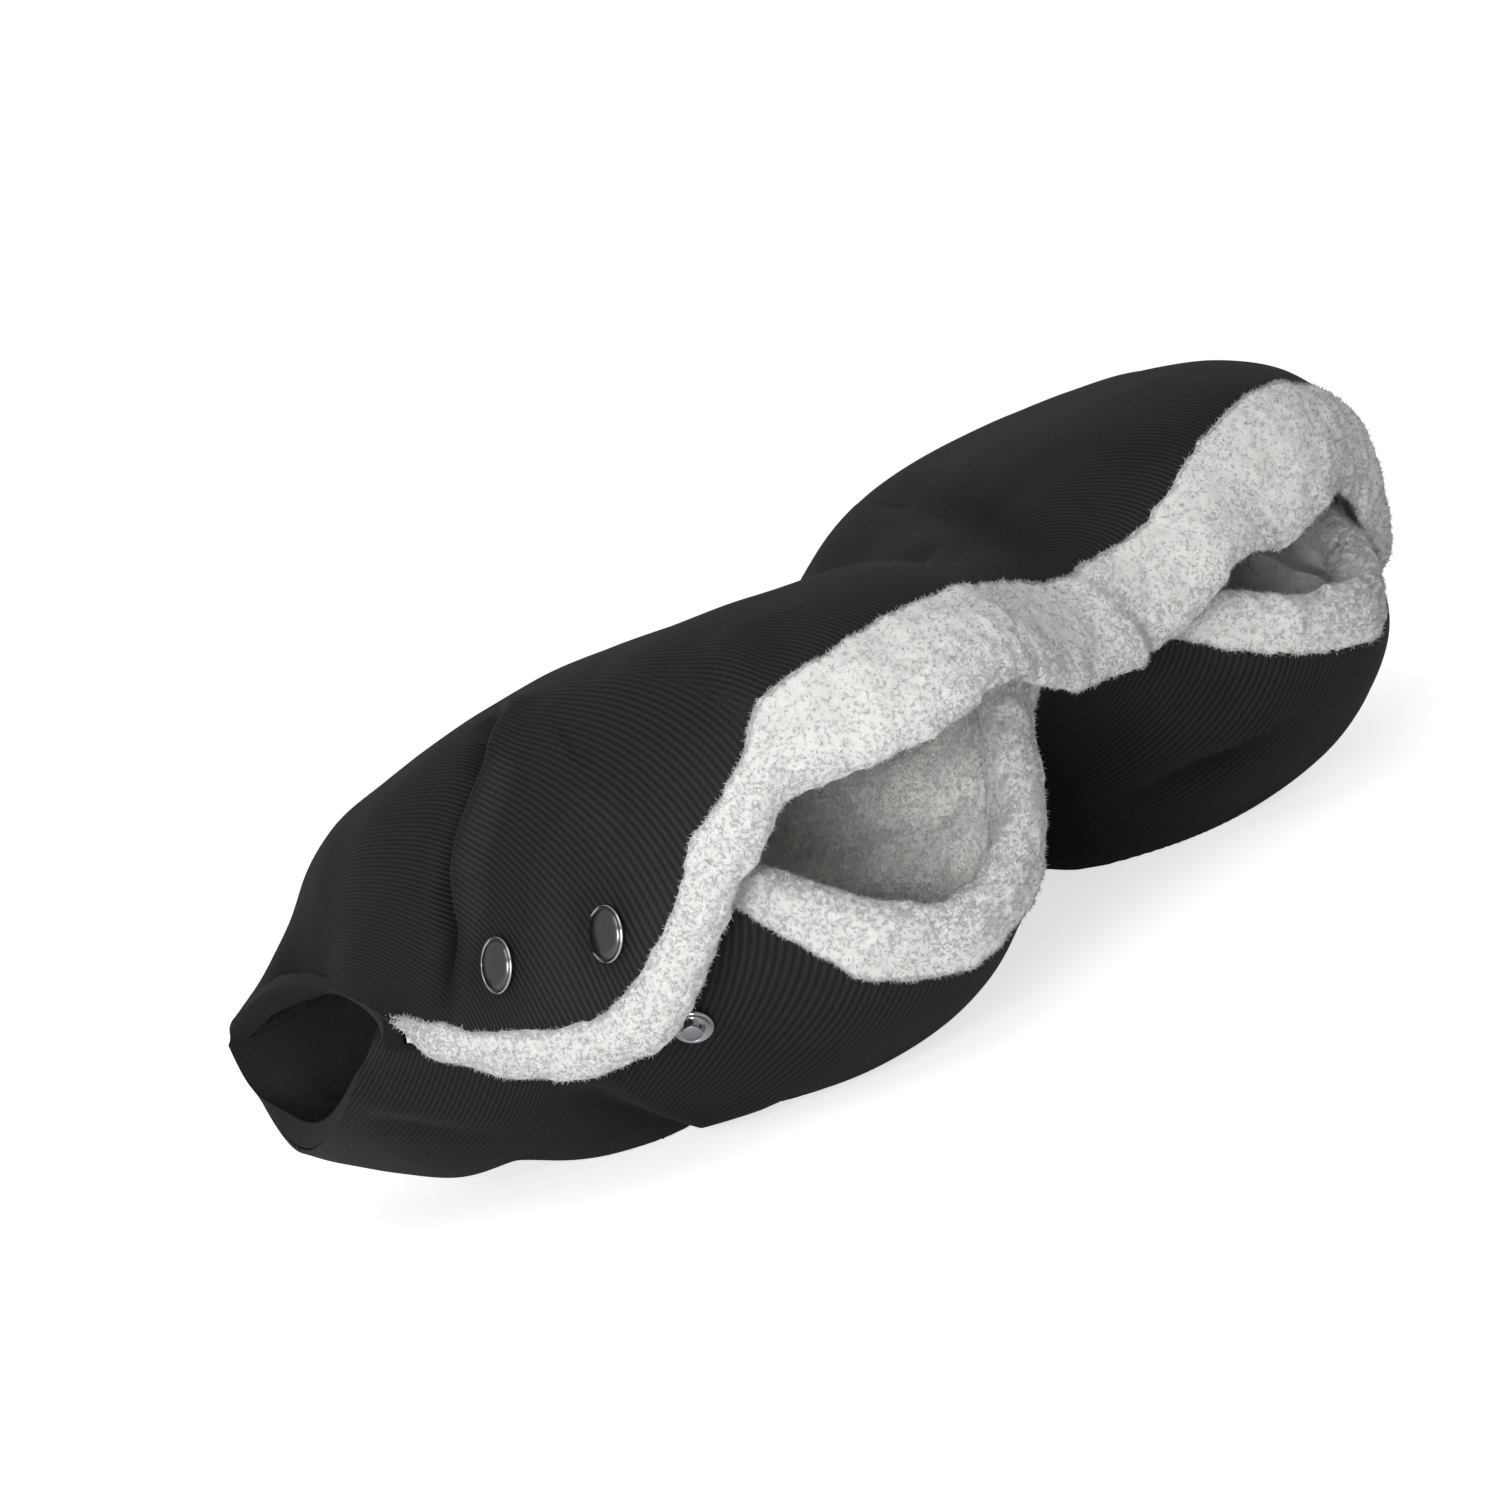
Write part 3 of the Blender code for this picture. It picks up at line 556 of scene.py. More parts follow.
def shell_piece(name, panel, first, last):
    stations, shares = places(first, last, *SHELL_STEPS)
    spots, out, _ = panel.cloth(stations, shares)
    relief = shell_relief(panel, stations, shares, spots)
    outer = spots + out * relief
    outer[..., 2] = np.maximum(outer[..., 2], 0)
    inner = outer - out * SHELL_THICKNESS
    # crease_shade is painted shade: the colour darkens where a fold's valley sinks in
    marks = {"crease_shade": ease(-relief[..., 0] / CREASE_SHADE_DEPTH), "lie": np.zeros(stations.shape)}
    if panel is UPPER:
        crease = np.array(UPPER_FOLDS[0][0])
        behind = np.interp(-np.abs(stations), crease[:, 0], crease[:, 1])
        marks["lie"] = (ramp(shares, behind, TONGUE_LIE_SHARE)
                        * ramp(np.abs(stations), *TONGUE_STATIONS))
    return sheet_mesh(name, outer, inner, panel.outward, cloth_lengths(spots), marks)


def billow(stations, shares):
    """The lining's slack, which stands up as a wall across the waist behind the near opening."""
    return window(stations, *BILLOW_STATIONS, BILLOW_HEIGHT * window(shares, *BILLOW_SHARES))


def hem_reach(shares):
    """How many stations deep the black facing is: cut longer at the back seam, where the dark facing also
    stands in for the shade deep inside the sleeve end, as painted shade.
    """
    return HEM_STATIONS * (1 + HEM_BACK_STRETCH * (1 - shares))


def lining_piece(name, panel, first, last, seed):
    stations, shares = places(first, last, *LINING_STEPS)
    spots, out, _ = panel.cloth(stations, shares)
    sunk = pressed_in(panel, stations, shares, spots)
    covered = (ramp(np.abs(stations), *FLAP_COVER_STATIONS)
               * ramp(shares, *FLAP_COVER_SHARES)) * (panel is UPPER)
    lumps = lumpiness(spots, LINING_LUMPS)
    if panel is LOWER:
        folds = (fold_relief(LOWER, LINING_FOLDS, spots) + swell_relief(LOWER, LOWER_SWELLS, spots)
                 + billow(stations, shares))
    else:
        folds = swell_relief(UPPER, UPPER_SWELLS, spots)
    under_hem = ease((np.abs(stations) - LAST + hem_reach(shares) + HEM_OVERLAP_STATIONS)
                     / HEM_OVERLAP_RISE)
    lift = (lumps + folds) * (1 - covered) * (1 - under_hem) * ease(shares / LINING_SEAM_SHARE)
    inner = spots - out * (depth_at(below_panel(0), stations, shares) + sunk + lift[..., None])
    below_wadding = (SHELL_THICKNESS + 2 * CLEARANCE, WADDING_THICKNESS)
    outer = spots - out * (depth_at(below_wadding, stations, shares) + sunk)
    mesh = sheet_mesh(name, outer, inner, panel.outward, cloth_lengths(spots))
    run, across = np.gradient(inner, axis=0), np.gradient(inner, axis=1)
    facing = unit(np.cross(run, across))
    facing *= -np.sign((facing * out).sum(-1, keepdims=True))
    shown = (shares > PILE_START_SHARE) & (under_hem < 0.5)
    picks = np.argwhere(shown[:-1, :-1])
    random = np.random.RandomState(seed)
    cells = np.linalg.norm(np.cross(run, across), axis=-1)[picks[:, 0], picks[:, 1]]
    fleece = bpy.context.scene.muff_fleece
    count = int(fleece.lining_tufts * cells.sum())
    picks = picks[random.choice(len(picks), count, p=cells / cells.sum())]
    part = random.uniform(size=(len(picks), 2, 1))
    rows, columns = picks.T
    seats = (inner[rows, columns] + (inner[rows + 1, columns] - inner[rows, columns]) * part[:, 0]
             + (inner[rows, columns + 1] - inner[rows, columns]) * part[:, 1])
    return with_pile(mesh, seats, facing[rows, columns], random)


def with_pile(mesh, seats, normals, random):
    """The same mesh with tufts on it, shaded like the cloth that they stand on."""
    fleece = bpy.context.scene.muff_fleece
    hairs, hair_faces = tufts(seats, normals, fleece.pile, fleece.tuft_width, random)
    count = len(mesh.vertices)
    old = np.zeros(count * 3, dtype=np.float32)
    mesh.vertices.foreach_get("co", old)
    faces = [list(face.vertices) for face in mesh.polygons]
    mesh.shade_smooth()
    smooth = np.zeros(count * 3, dtype=np.float32)
    mesh.vertex_normals.foreach_get("vector", smooth)
    verts = np.concatenate([old.reshape(-1, 3), hairs])
    whole = mesh_from(mesh.name, verts, faces + (hair_faces + count).tolist())
    whole.shade_smooth()
    lit = np.concatenate([smooth.reshape(-1, 3), np.repeat(normals, 4, axis=0)])
    whole.normals_split_custom_set_from_vertices(lit.tolist())
    return whole


def tufts(spots, normals, length, width, random):
    """Small closed spikes of pile, one at each spot, combed nearly flat in random directions."""
    count = len(spots)
    lean = unit(TUFT_RISE * normals + TUFT_SCATTER * random.normal(size=(count, 3)))
    short = TUFT_LEAST_RISE - (lean * normals).sum(-1, keepdims=True)
    lean = unit(lean + normals * np.maximum(short, 0))
    side = unit(np.cross(lean, random.normal(size=(count, 3))))
    third = np.cross(lean, side)
    base = spots - normals * width
    turns = [2 * math.pi * k / 3 for k in range(3)]
    ring = [base + width * (side * math.cos(t) + third * math.sin(t)) for t in turns]
    tip = base + lean * (length * random.uniform(*TUFT_LENGTHS, size=(count, 1)) + width)
    verts = np.stack(ring + [tip], 1).reshape(-1, 3)
    start = np.arange(count)[:, None] * 4
    faces = np.concatenate([start + row for row in ((0, 1, 3), (1, 2, 3), (2, 0, 3), (0, 2, 1))])
    return verts, faces


def rounded(values):
    return np.sign(values) * np.abs(values) ** ROLL_ROUNDNESS


def roll_mesh(name, panel, first, last, seed):
    """A puffy fleece roll round a panel's edge, from the band's start to its end, covered in pile."""
    random = np.random.RandomState(seed)
    fleece = bpy.context.scene.muff_fleece
    measured = panel.points(np.linspace(first, last, ROLL_MEASURE_STEPS), np.ones(ROLL_MEASURE_STEPS))
    length = np.linalg.norm(np.diff(measured, axis=0), axis=-1).sum()
    count = int(length / fleece.grain)
    stations = np.linspace(first, last, count)
    spots, out, edgeward = panel.frames(stations, np.ones(count))
    reach = ROLL_REACH["upper" if panel is UPPER else "lower"]
    tip = ease((reach[1] - np.abs(stations)) / ROLL_TIP_STATIONS + ROLL_TIP_LEAST)
    if reach[0] > 0:
        tip = tip * ease((np.abs(stations) - reach[0]) / ROLL_TIP_STATIONS + ROLL_MIDDLE_LEAST)
    start, end = panel.band(stations)
    depth = depth_at(below_panel(0), stations, np.ones(count))[:, 0]
    depth = depth * (ROLL_TIP_DEPTH + (1 - ROLL_TIP_DEPTH) * tip)
    turn = np.linspace(0, 2 * np.pi, ROLL_FACETS, endpoint=False)[:, None]
    ahead = np.maximum(rounded(np.sin(turn)), 0)
    along = (start + (end - start) * (ROLL_TIP_WIDTH + (1 - ROLL_TIP_WIDTH) * tip) * ahead
             + fleece.root * np.minimum(np.sin(turn), 0))
    curl = fleece.curl * (np.maximum(along, 0) / (WIDEST_BAND * ROLL_WIDTH)) ** 2
    if panel is UPPER:
        curl = curl * (1 + window(stations, *FAR_CURL_STATIONS, FAR_CURL))
    lift = rounded(np.cos(turn)) * (depth / 2 + fleece.rise * tip) - depth / 2 - curl
    probe = panel.points(stations, np.full(count, 1 - EDGE_PROBE_SHARE))
    stretch = np.linalg.norm(spots - probe, axis=-1) / EDGE_PROBE_SHARE
    places_on = np.broadcast_to(stations, along.shape), 1 + np.minimum(along, 0) / stretch
    seats_on, out_on, edgeward_on = panel.frames(*places_on)
    relief = shell_relief(panel, *places_on, seats_on)
    relief = np.maximum(relief, ROLL_SINK_SHARE * relief)
    rings = (seats_on + edgeward_on * np.maximum(along, 0)[..., None]
             + out_on * (lift[..., None] + relief))
    middle = spots + edgeward * ((start + end) / 2)[:, None] - out * depth[:, None] / 2
    rings = rings.transpose(1, 0, 2)
    run = np.gradient(rings, axis=0)
    ringed = np.concatenate([rings[:, -1:], rings, rings[:, :1]], axis=1)
    away = unit(np.cross(ringed[:, 2:] - ringed[:, :-2], run))
    facing = np.sign((away * (rings - middle[:, None])).sum(-1).mean())
    away *= facing
    rings = rings + away * (fleece.lumps * lumpiness(rings, EDGE_LUMPS, seed))[..., None]
    columns = rings.shape[1]
    index = np.arange(count * columns).reshape(count, columns)
    after = np.roll(index, -1, axis=1)
    faces = np.stack([index[:-1], after[:-1], after[1:], index[1:]], -1).reshape(-1, 4)
    shown = np.argwhere(np.sin(turn[:, 0]) > ROLL_PILE_TURN)[:, 0]
    total = int(fleece.tufts * length)
    picks = random.randint(0, count - 1, total), shown[random.randint(0, len(shown), total)]
    part = random.uniform(size=(total, 2, 1))
    corners = [rings[picks[0] + i, (picks[1] + j) % columns] for i, j in ((0, 0), (1, 0), (0, 1))]
    seats = corners[0] + (corners[1] - corners[0]) * part[:, 0] + (corners[2] - corners[0]) * part[:, 1]
    face_list = faces.tolist() + [index[0].tolist(), index[-1][::-1].tolist()]
    if facing < 0:
        face_list = [face[::-1] for face in face_list]
    mesh = mesh_from(name, rings.reshape(-1, 3), face_list)
    return with_pile(mesh, seats, away[picks], random)


def turned_mesh(name, profile):
    """Spins a profile of (radius, height) points that starts and ends on the axis."""
    verts, rings = [], []
    for radius, height in profile:
        steps = 1 if radius == 0 else METAL_FACETS
        rings.append([len(verts) + k for k in range(steps)])
        for k in range(steps):
            turn = 2 * math.pi * k / METAL_FACETS
            verts.append((radius * math.cos(turn), radius * math.sin(turn), height))
    faces = []
    for low, high in zip(rings, rings[1:]):
        for k in range(METAL_FACETS):
            corners = (low[k % len(low)], low[(k + 1) % len(low)],
                       high[(k + 1) % len(high)], high[k % len(high)])
            faces.append(list(dict.fromkeys(corners)))
    mesh = bpy.data.meshes.new(name)
    mesh.from_pydata(verts, [], faces)
    return mesh


def new_material(name):
    mat = bpy.data.materials.new(name)
    mat.use_nodes = True
    return mat, mat.node_tree.nodes, mat.node_tree.links, mat.node_tree.nodes["Principled BSDF"]


def new_group(name, inputs, outputs):
    group = bpy.data.node_groups.new(name, "ShaderNodeTree")
    for label, kind, value in inputs:
        socket = group.interface.new_socket(label, in_out="INPUT", socket_type=kind)
        if value is not None:
            socket.default_value = value
    for label, kind in outputs:
        group.interface.new_socket(label, in_out="OUTPUT", socket_type=kind)
    return group, group.nodes.new("NodeGroupInput"), group.nodes.new("NodeGroupOutput")


def settle(node, values):
    """Sets a node's inputs by name."""
    for label, value in values.items():
        node.inputs[label].default_value = value


def add(nodes, kind, values=None, **settings):
    """A new shader node with its settings and its inputs' values."""
    node = nodes.new(kind)
    for label, value in settings.items():
        setattr(node, label, value)
    settle(node, values or {})
    return node


def mottle_group():
    """Slow variation of a colour, from one tone to another."""
    group, given, result = new_group(
        "mottled_tone",
        [("Size", "NodeSocketFloat", 40.0), ("Low", "NodeSocketColor", None),
         ("High", "NodeSocketColor", None)],
        [("Colour", "NodeSocketColor"), ("Mask", "NodeSocketFloat")])
    nodes, links = group.nodes, group.links
    place = nodes.new("ShaderNodeTexCoord")
    noise = add(nodes, "ShaderNodeTexNoise", {"Detail": 4})
    mix = add(nodes, "ShaderNodeMix", data_type="RGBA")
    links.new(place.outputs["Object"], noise.inputs["Vector"])
    links.new(given.outputs["Size"], noise.inputs["Scale"])
    links.new(noise.outputs["Fac"], mix.inputs["Factor"])
    links.new(given.outputs["Low"], mix.inputs["A"])
    links.new(given.outputs["High"], mix.inputs["B"])
    links.new(mix.outputs["Result"], result.inputs["Colour"])
    links.new(noise.outputs["Fac"], result.inputs["Mask"])


def rib_group():
    """Diagonal ribs of a twill, from cloth coordinates in metres."""
    group, given, result = new_group(
        "twill_ribs",
        [("Pitch", "NodeSocketFloat", 0.0013), ("Slant", "NodeSocketFloat", 0.25),
         ("Turned slant", "NodeSocketFloat", 0.25)],
        [("Height", "NodeSocketFloat"), ("Crest", "NodeSocketFloat")])
    nodes, links = group.nodes, group.links
    cloth = add(nodes, "ShaderNodeUVMap", uv_map="cloth")
    split = nodes.new("ShaderNodeSeparateXYZ")
    links.new(cloth.outputs["UV"], split.inputs["Vector"])

    def maths(operation, *values):
        node = add(nodes, "ShaderNodeMath", operation=operation)
        for socket, value in zip(node.inputs, values):
            if hasattr(value, "links"):
                links.new(value, socket)
            else:
                socket.default_value = value
        return node.outputs[0]

    def ribs(slant):
        shift = maths("MULTIPLY", split.outputs["Y"], given.outputs[slant])
        slanted = maths("ADD", split.outputs["X"], shift)
        turns = maths("MULTIPLY", maths("DIVIDE", slanted, given.outputs["Pitch"]), 2 * math.pi)
        return maths("MULTIPLY_ADD", maths("SINE", turns), 0.5, 0.5)

    lie = add(nodes, "ShaderNodeAttribute", attribute_name="lie")
    mix = nodes.new("ShaderNodeMix")
    links.new(lie.outputs["Fac"], mix.inputs["Factor"])
    links.new(ribs("Slant"), mix.inputs["A"])
    links.new(ribs("Turned slant"), mix.inputs["B"])
    cross = maths("MULTIPLY", maths("DIVIDE", split.outputs["Y"], given.outputs["Pitch"]), WEFT_RATE)
    weft = maths("MULTIPLY_ADD", maths("SINE", cross), WEFT_HEIGHT, WEFT_HEIGHT)
    links.new(maths("ADD", mix.outputs["Result"], weft), result.inputs["Height"])
    links.new(mix.outputs["Result"], result.inputs["Crest"])


def pile_group():
    """Fleece: clumps and fine fibres as a height, and a mask of its hollows."""
    group, given, result = new_group(
        "fleece_pile",
        [("Clump", "NodeSocketFloat", 260.0), ("Fibre", "NodeSocketFloat", 1400.0)],
        [("Height", "NodeSocketFloat"), ("Hollow", "NodeSocketFloat")])
    nodes, links = group.nodes, group.links
    place = nodes.new("ShaderNodeTexCoord")
    heights = []
    for label in ("Clump", "Fibre"):
        noise = add(nodes, "ShaderNodeTexNoise", {"Detail": 3})
        links.new(place.outputs["Object"], noise.inputs["Vector"])
        links.new(given.outputs[label], noise.inputs["Scale"])
        heights.append(noise.outputs["Fac"])
    total = add(nodes, "ShaderNodeMath", operation="MULTIPLY_ADD")
    total.inputs[1].default_value = 0.5
    links.new(heights[1], total.inputs[0])
    links.new(heights[0], total.inputs[2])
    links.new(total.outputs[0], result.inputs["Height"])
    links.new(heights[0], result.inputs["Hollow"])


def group_node(nodes, name, values=None):
    return add(nodes, "ShaderNodeGroup", values, node_tree=bpy.data.node_groups[name])


def tone(colour, factor):
    return (*(channel * factor for channel in colour[:3]), 1)


def mottled(nodes, colour, size, low, high):
    return group_node(nodes, "mottled_tone",
                      {"Size": size, "Low": tone(colour, low), "High": tone(colour, high)})


def cloth_material(name, colour, pitch, slants, depth):
    _, nodes, links, shader = new_material(name)
    tint = mottled(nodes, colour, 30.0, 0.8, 1.25)
    ribs = group_node(nodes, "twill_ribs",
                      {"Pitch": pitch, "Slant": slants[0], "Turned slant": slants[1]})
    lit = add(nodes, "ShaderNodeMix", {"Factor": 1}, data_type="RGBA", blend_type="MULTIPLY")
    shade = add(nodes, "ShaderNodeMapRange", {"To Min": 0.55, "To Max": 1.5})
    bump = add(nodes, "ShaderNodeBump", {"Distance": depth, "Strength": 0.8})
    # Painted shade in the folds: the colour, ribs included, falls to 0.12 of itself in the deepest valleys
    crease_shade = add(nodes, "ShaderNodeAttribute", attribute_name="crease_shade")
    crease_darkening = add(nodes, "ShaderNodeMapRange", {"To Min": 1, "To Max": 0.12})
    both = add(nodes, "ShaderNodeMath", operation="MULTIPLY")
    links.new(crease_shade.outputs["Fac"], crease_darkening.inputs["Value"])
    links.new(ribs.outputs["Crest"], shade.inputs["Value"])
    links.new(shade.outputs["Result"], both.inputs[0])
    links.new(crease_darkening.outputs["Result"], both.inputs[1])
    links.new(tint.outputs["Colour"], lit.inputs["A"])
    links.new(both.outputs[0], lit.inputs["B"])
    links.new(lit.outputs["Result"], shader.inputs["Base Color"])
    links.new(ribs.outputs["Height"], bump.inputs["Height"])
    links.new(bump.outputs["Normal"], shader.inputs["Normal"])
    settle(shader, {"Roughness": 0.62, "Specular IOR Level": 0.14, "Sheen Weight": 0.015,
                    "Sheen Roughness": 0.4})


def fleece_material(name, colour, shade):
    _, nodes, links, shader = new_material(name)
    pile = group_node(nodes, "fleece_pile")
    tint = mottled(nodes, colour, 60.0, shade, 1.03)
    bump = add(nodes, "ShaderNodeBump", {"Distance": 0.0012, "Strength": 0.6})
    links.new(tint.outputs["Colour"], shader.inputs["Base Color"])
    links.new(pile.outputs["Height"], bump.inputs["Height"])
    links.new(bump.outputs["Normal"], shader.inputs["Normal"])
    settle(shader, {"Roughness": 0.95, "Subsurface Weight": 0.6, "Subsurface Radius": (1.0, 0.95, 0.9),
                    "Subsurface Scale": 0.002, "Specular IOR Level": 0.1, "Sheen Weight": 0.35,
                    "Sheen Roughness": 0.6})


def metal_material(name, colour, roughness):
    _, nodes, links, shader = new_material(name)
    tint = mottled(nodes, colour, 700.0, 0.86, 1.08)
    wear = add(nodes, "ShaderNodeMapRange", {"To Min": roughness * 0.7, "To Max": roughness * 1.4})
    links.new(tint.outputs["Colour"], shader.inputs["Base Color"])
    links.new(tint.outputs["Mask"], wear.inputs["Value"])
    links.new(wear.outputs["Result"], shader.inputs["Roughness"])
    settle(shader, {"Metallic": 1})


def stand(obj, spot, out, way):
    """Seats a fitting on the cloth, turned the given way."""
    turned = way.to_track_quat("Z", "Y").to_matrix().to_4x4()
    obj.matrix_world = Matrix.Translation(spot + out * CLEARANCE) @ turned


def finish_nodes(words, mat):
    """Gives a material to the solids that have one of the words in their names."""
    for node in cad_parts.values():
        if any(word in node.name for word in words):
            node.data.materials.clear()
            node.data.materials.append(mat)


class MuffCloth(bpy.types.PropertyGroup):
    """The black shell cloth."""
    colour: bpy.props.FloatVectorProperty(
        name="Shell colour", description="Colour of the woven shell", subtype="COLOR", size=3,
        default=(0.0115, 0.0119, 0.0128), min=0, max=1)
    rib_pitch: bpy.props.FloatProperty(
        name="Rib pitch", description="Distance from rib to rib", unit="LENGTH", default=0.0013)
    rib_depth: bpy.props.FloatProperty(
        name="Rib depth", description="Height of a rib", unit="LENGTH", default=0.00025)
    slant: bpy.props.FloatProperty(
        name="Rib slant", description="Slope of the ribs across the cloth", default=-0.15)
    turned_slant: bpy.props.FloatProperty(
        name="Tongue rib slant", description="Slope of the ribs on the flap's tongue", default=0.05)


class MuffFleece(bpy.types.PropertyGroup):
    """The fleece edges and linings."""
    colour: bpy.props.FloatVectorProperty(
        name="Fleece colour", description="Colour of the turned-out edges", subtype="COLOR", size=3,
        default=(0.63, 0.63, 0.61), min=0, max=1)
    # Lighter than the edges' fleece, which is the same cloth: the extra lightness is painted light for the
    # linings' shaded insides
    lining_colour_painted_light: bpy.props.FloatVectorProperty(
        name="Lining colour", description="Colour of the pile inside", subtype="COLOR", size=3,
        default=(0.80, 0.79, 0.76), min=0, max=1)
    rise: bpy.props.FloatProperty(
        name="Rise", description="How far the edge stands above the shell", unit="LENGTH",
        default=0.0012)
    root: bpy.props.FloatProperty(
        name="Root", description="How deep the edge is sewn in", unit="LENGTH", default=0.0030)
    curl: bpy.props.FloatProperty(
        name="Curl", description="How far the widest edge curls inwards", unit="LENGTH", default=0.0070)
    grain: bpy.props.FloatProperty(
        name="Grain", description="Step between the edge's rings", unit="LENGTH", default=0.0008)
    lumps: bpy.props.FloatProperty(
        name="Lumps", description="Height of the fleece's lumps", unit="LENGTH", default=0.0009)
    pile: bpy.props.FloatProperty(
        name="Pile", description="Length of the pile", unit="LENGTH", default=0.0012)
    tuft_width: bpy.props.FloatProperty(
        name="Tuft width", description="Radius of one tuft", unit="LENGTH", default=0.00020)
    tufts: bpy.props.IntProperty(
        name="Tufts", description="Tufts on each metre of edge", default=80000, min=0)
    lining_tufts: bpy.props.IntProperty(
        name="Lining tufts", description="Tufts on each square metre of lining", default=1400000, min=0)


class MuffMetal(bpy.types.PropertyGroup):
    """The press studs."""
    # Kept dark: on a cap's face this colour is a painted dark reflection; the rim takes a copy 3.6 times
    # lighter as a painted highlight, and the spare stud a copy 2.6 times lighter
    colour: bpy.props.FloatVectorProperty(
        name="Metal colour", description="Colour of the plated metal", subtype="COLOR", size=3,
        default=(0.16, 0.16, 0.17), min=0, max=1)
    cap_radius: bpy.props.FloatProperty(
        name="Cap radius", description="Radius of a cap", unit="LENGTH", default=0.0075)
    cap_rise: bpy.props.FloatProperty(
        name="Cap rise", description="Height of a cap's dome", unit="LENGTH", default=0.0024)
    stud_radius: bpy.props.FloatProperty(
        name="Stud radius", description="Radius of the spare stud's ring", unit="LENGTH", default=0.0058)
    stud_height: bpy.props.FloatProperty(
        name="Stud height", description="Height of the spare stud", unit="LENGTH", default=0.0036)
    cap_tip: bpy.props.FloatProperty(
        name="Cap tip", description="How far a cap leans with the puckered cloth", default=0.70)


class MuffStudio(bpy.types.PropertyGroup):
    """Camera and lights."""
    azimuth: bpy.props.FloatProperty(
        name="Azimuth", description="Camera's turn round the muff", default=-41.67)
    elevation: bpy.props.FloatProperty(
        name="Elevation", description="Camera's height above the horizon", default=9.5)
    roll: bpy.props.FloatProperty(
        name="Roll", description="How far the picture is turned", default=22.66)
    distance: bpy.props.FloatProperty(
        name="Distance", description="From the camera to the muff", unit="LENGTH", default=1.1643)
    key: bpy.props.FloatProperty(
        name="Key light", description="Power of the main light", unit="POWER", default=3.4)
    front: bpy.props.FloatProperty(
        name="Front light", description="Power of the light beside the camera", unit="POWER",
        default=10.0)
    ambient: bpy.props.FloatProperty(
        name="Ambient", description="Strength of the room's light", default=0.40)
    floor_glow: bpy.props.FloatProperty(
        name="Floor glow", description="How far the seen floor is lifted to white", default=0.68)


class MUFF_OT_finishes(bpy.types.Operator):
    """Makes the shared shader effects and the materials"""
    bl_idname = "muff.finishes"
    bl_label = "Finishes"

    def execute(self, context):
        cloth, fleece, metal = (context.scene.muff_cloth, context.scene.muff_fleece,
                                context.scene.muff_metal)
        mottle_group()
        rib_group()
        pile_group()
        slants = (cloth.slant, cloth.turned_slant)
        cloth_material("shell_twill", cloth.colour, cloth.rib_pitch, slants, cloth.rib_depth)
        cloth_material("hem_tape", tone(cloth.colour, 0.8), cloth.rib_pitch, (1, 1), cloth.rib_depth)
        fleece_material("fleece_edge", fleece.colour, 0.95)
        # The lining is the edges' fleece made lighter: painted light
        fleece_material("fleece_lining_painted_light", fleece.lining_colour_painted_light, 0.96)
        # One plated metal in three tones: the cap's dark tone is a painted dark reflection, the rim's
        # light tone a painted highlight
        metal_material("nickel_cap_painted_dark_reflection", metal.colour, 0.24)
        metal_material("nickel_rim_painted_highlight", tone(metal.colour, 3.6), 0.16)
        metal_material("nickel_stud", tone(metal.colour, 2.6), 0.14)
        return {"FINISHED"}


class MUFF_OT_shells(bpy.types.Operator):
    """Makes the black outer cloth of both panels"""
    bl_idname = "muff.shells"
    bl_label = "Shells"

    def execute(self, context):
        mat = bpy.data.materials["shell_twill"]
        for side, sign in SIDES.items():
            ends = sorted((0, sign * LAST))
            name = f"upper_shell_{side}"
            shell = link(name, shell_piece(name, UPPER, *ends), mat, None)
            flex(shell)
            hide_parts("upper_shell", "upper_wadding", f"flap_{side}_shell",
                        f"flap_{side}_wadding")
        name = "lower_shell_skin"
        shell = link(name, shell_piece(name, LOWER, -LAST, LAST), mat, "muff")
        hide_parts("lower_shell", "lower_wadding")
        return {"FINISHED"}


class MUFF_OT_linings(bpy.types.Operator):
    """Makes the fleece linings"""
    bl_idname = "muff.linings"
    bl_label = "Linings"

    def execute(self, context):
        mat = bpy.data.materials["fleece_lining_painted_light"]
        last = LAST - HEM_TURN_STATIONS - HEM_FOLD_STATIONS
        for side, sign in SIDES.items():
            ends = sorted((0, sign * last))
            name = f"upper_lining_{side}"
            lining = link(name, lining_piece(name, UPPER, *ends, 41), mat, None, 0)
            flex(lining)
            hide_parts("upper_lining", f"flap_{side}_lining")
        name = "lower_lining_skin"
        lining = link(name, lining_piece(name, LOWER, -last, last, 43), mat, "muff", 0)
        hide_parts("lower_lining")
        return {"FINISHED"}


class MUFF_OT_edges(bpy.types.Operator):
    """Makes the turned-out fleece edges"""
    bl_idname = "muff.edges"
    bl_label = "Fleece edges"

    def execute(self, context):
        mat = bpy.data.materials["fleece_edge"]
        for side, sign in SIDES.items():
            ends = sorted(sign * station for station in ROLL_REACH["upper"])
            mesh = roll_mesh(f"upper_edge_{side}", UPPER, *ends, 21)
            roll = link(f"upper_edge_{side}", mesh, mat, None, 0)
            flex(roll)
            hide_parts("upper_edge_roll", f"flap_{side}_edge_roll")
            ends = sorted(sign * station for station in ROLL_REACH["lower"])
            mesh = roll_mesh(f"opening_edge_{side}", LOWER, *ends, 31)
            roll = link(f"opening_edge_{side}", mesh, mat, "muff", 0)
            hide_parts(f"lower_{side}_edge_roll")
        return {"FINISHED"}


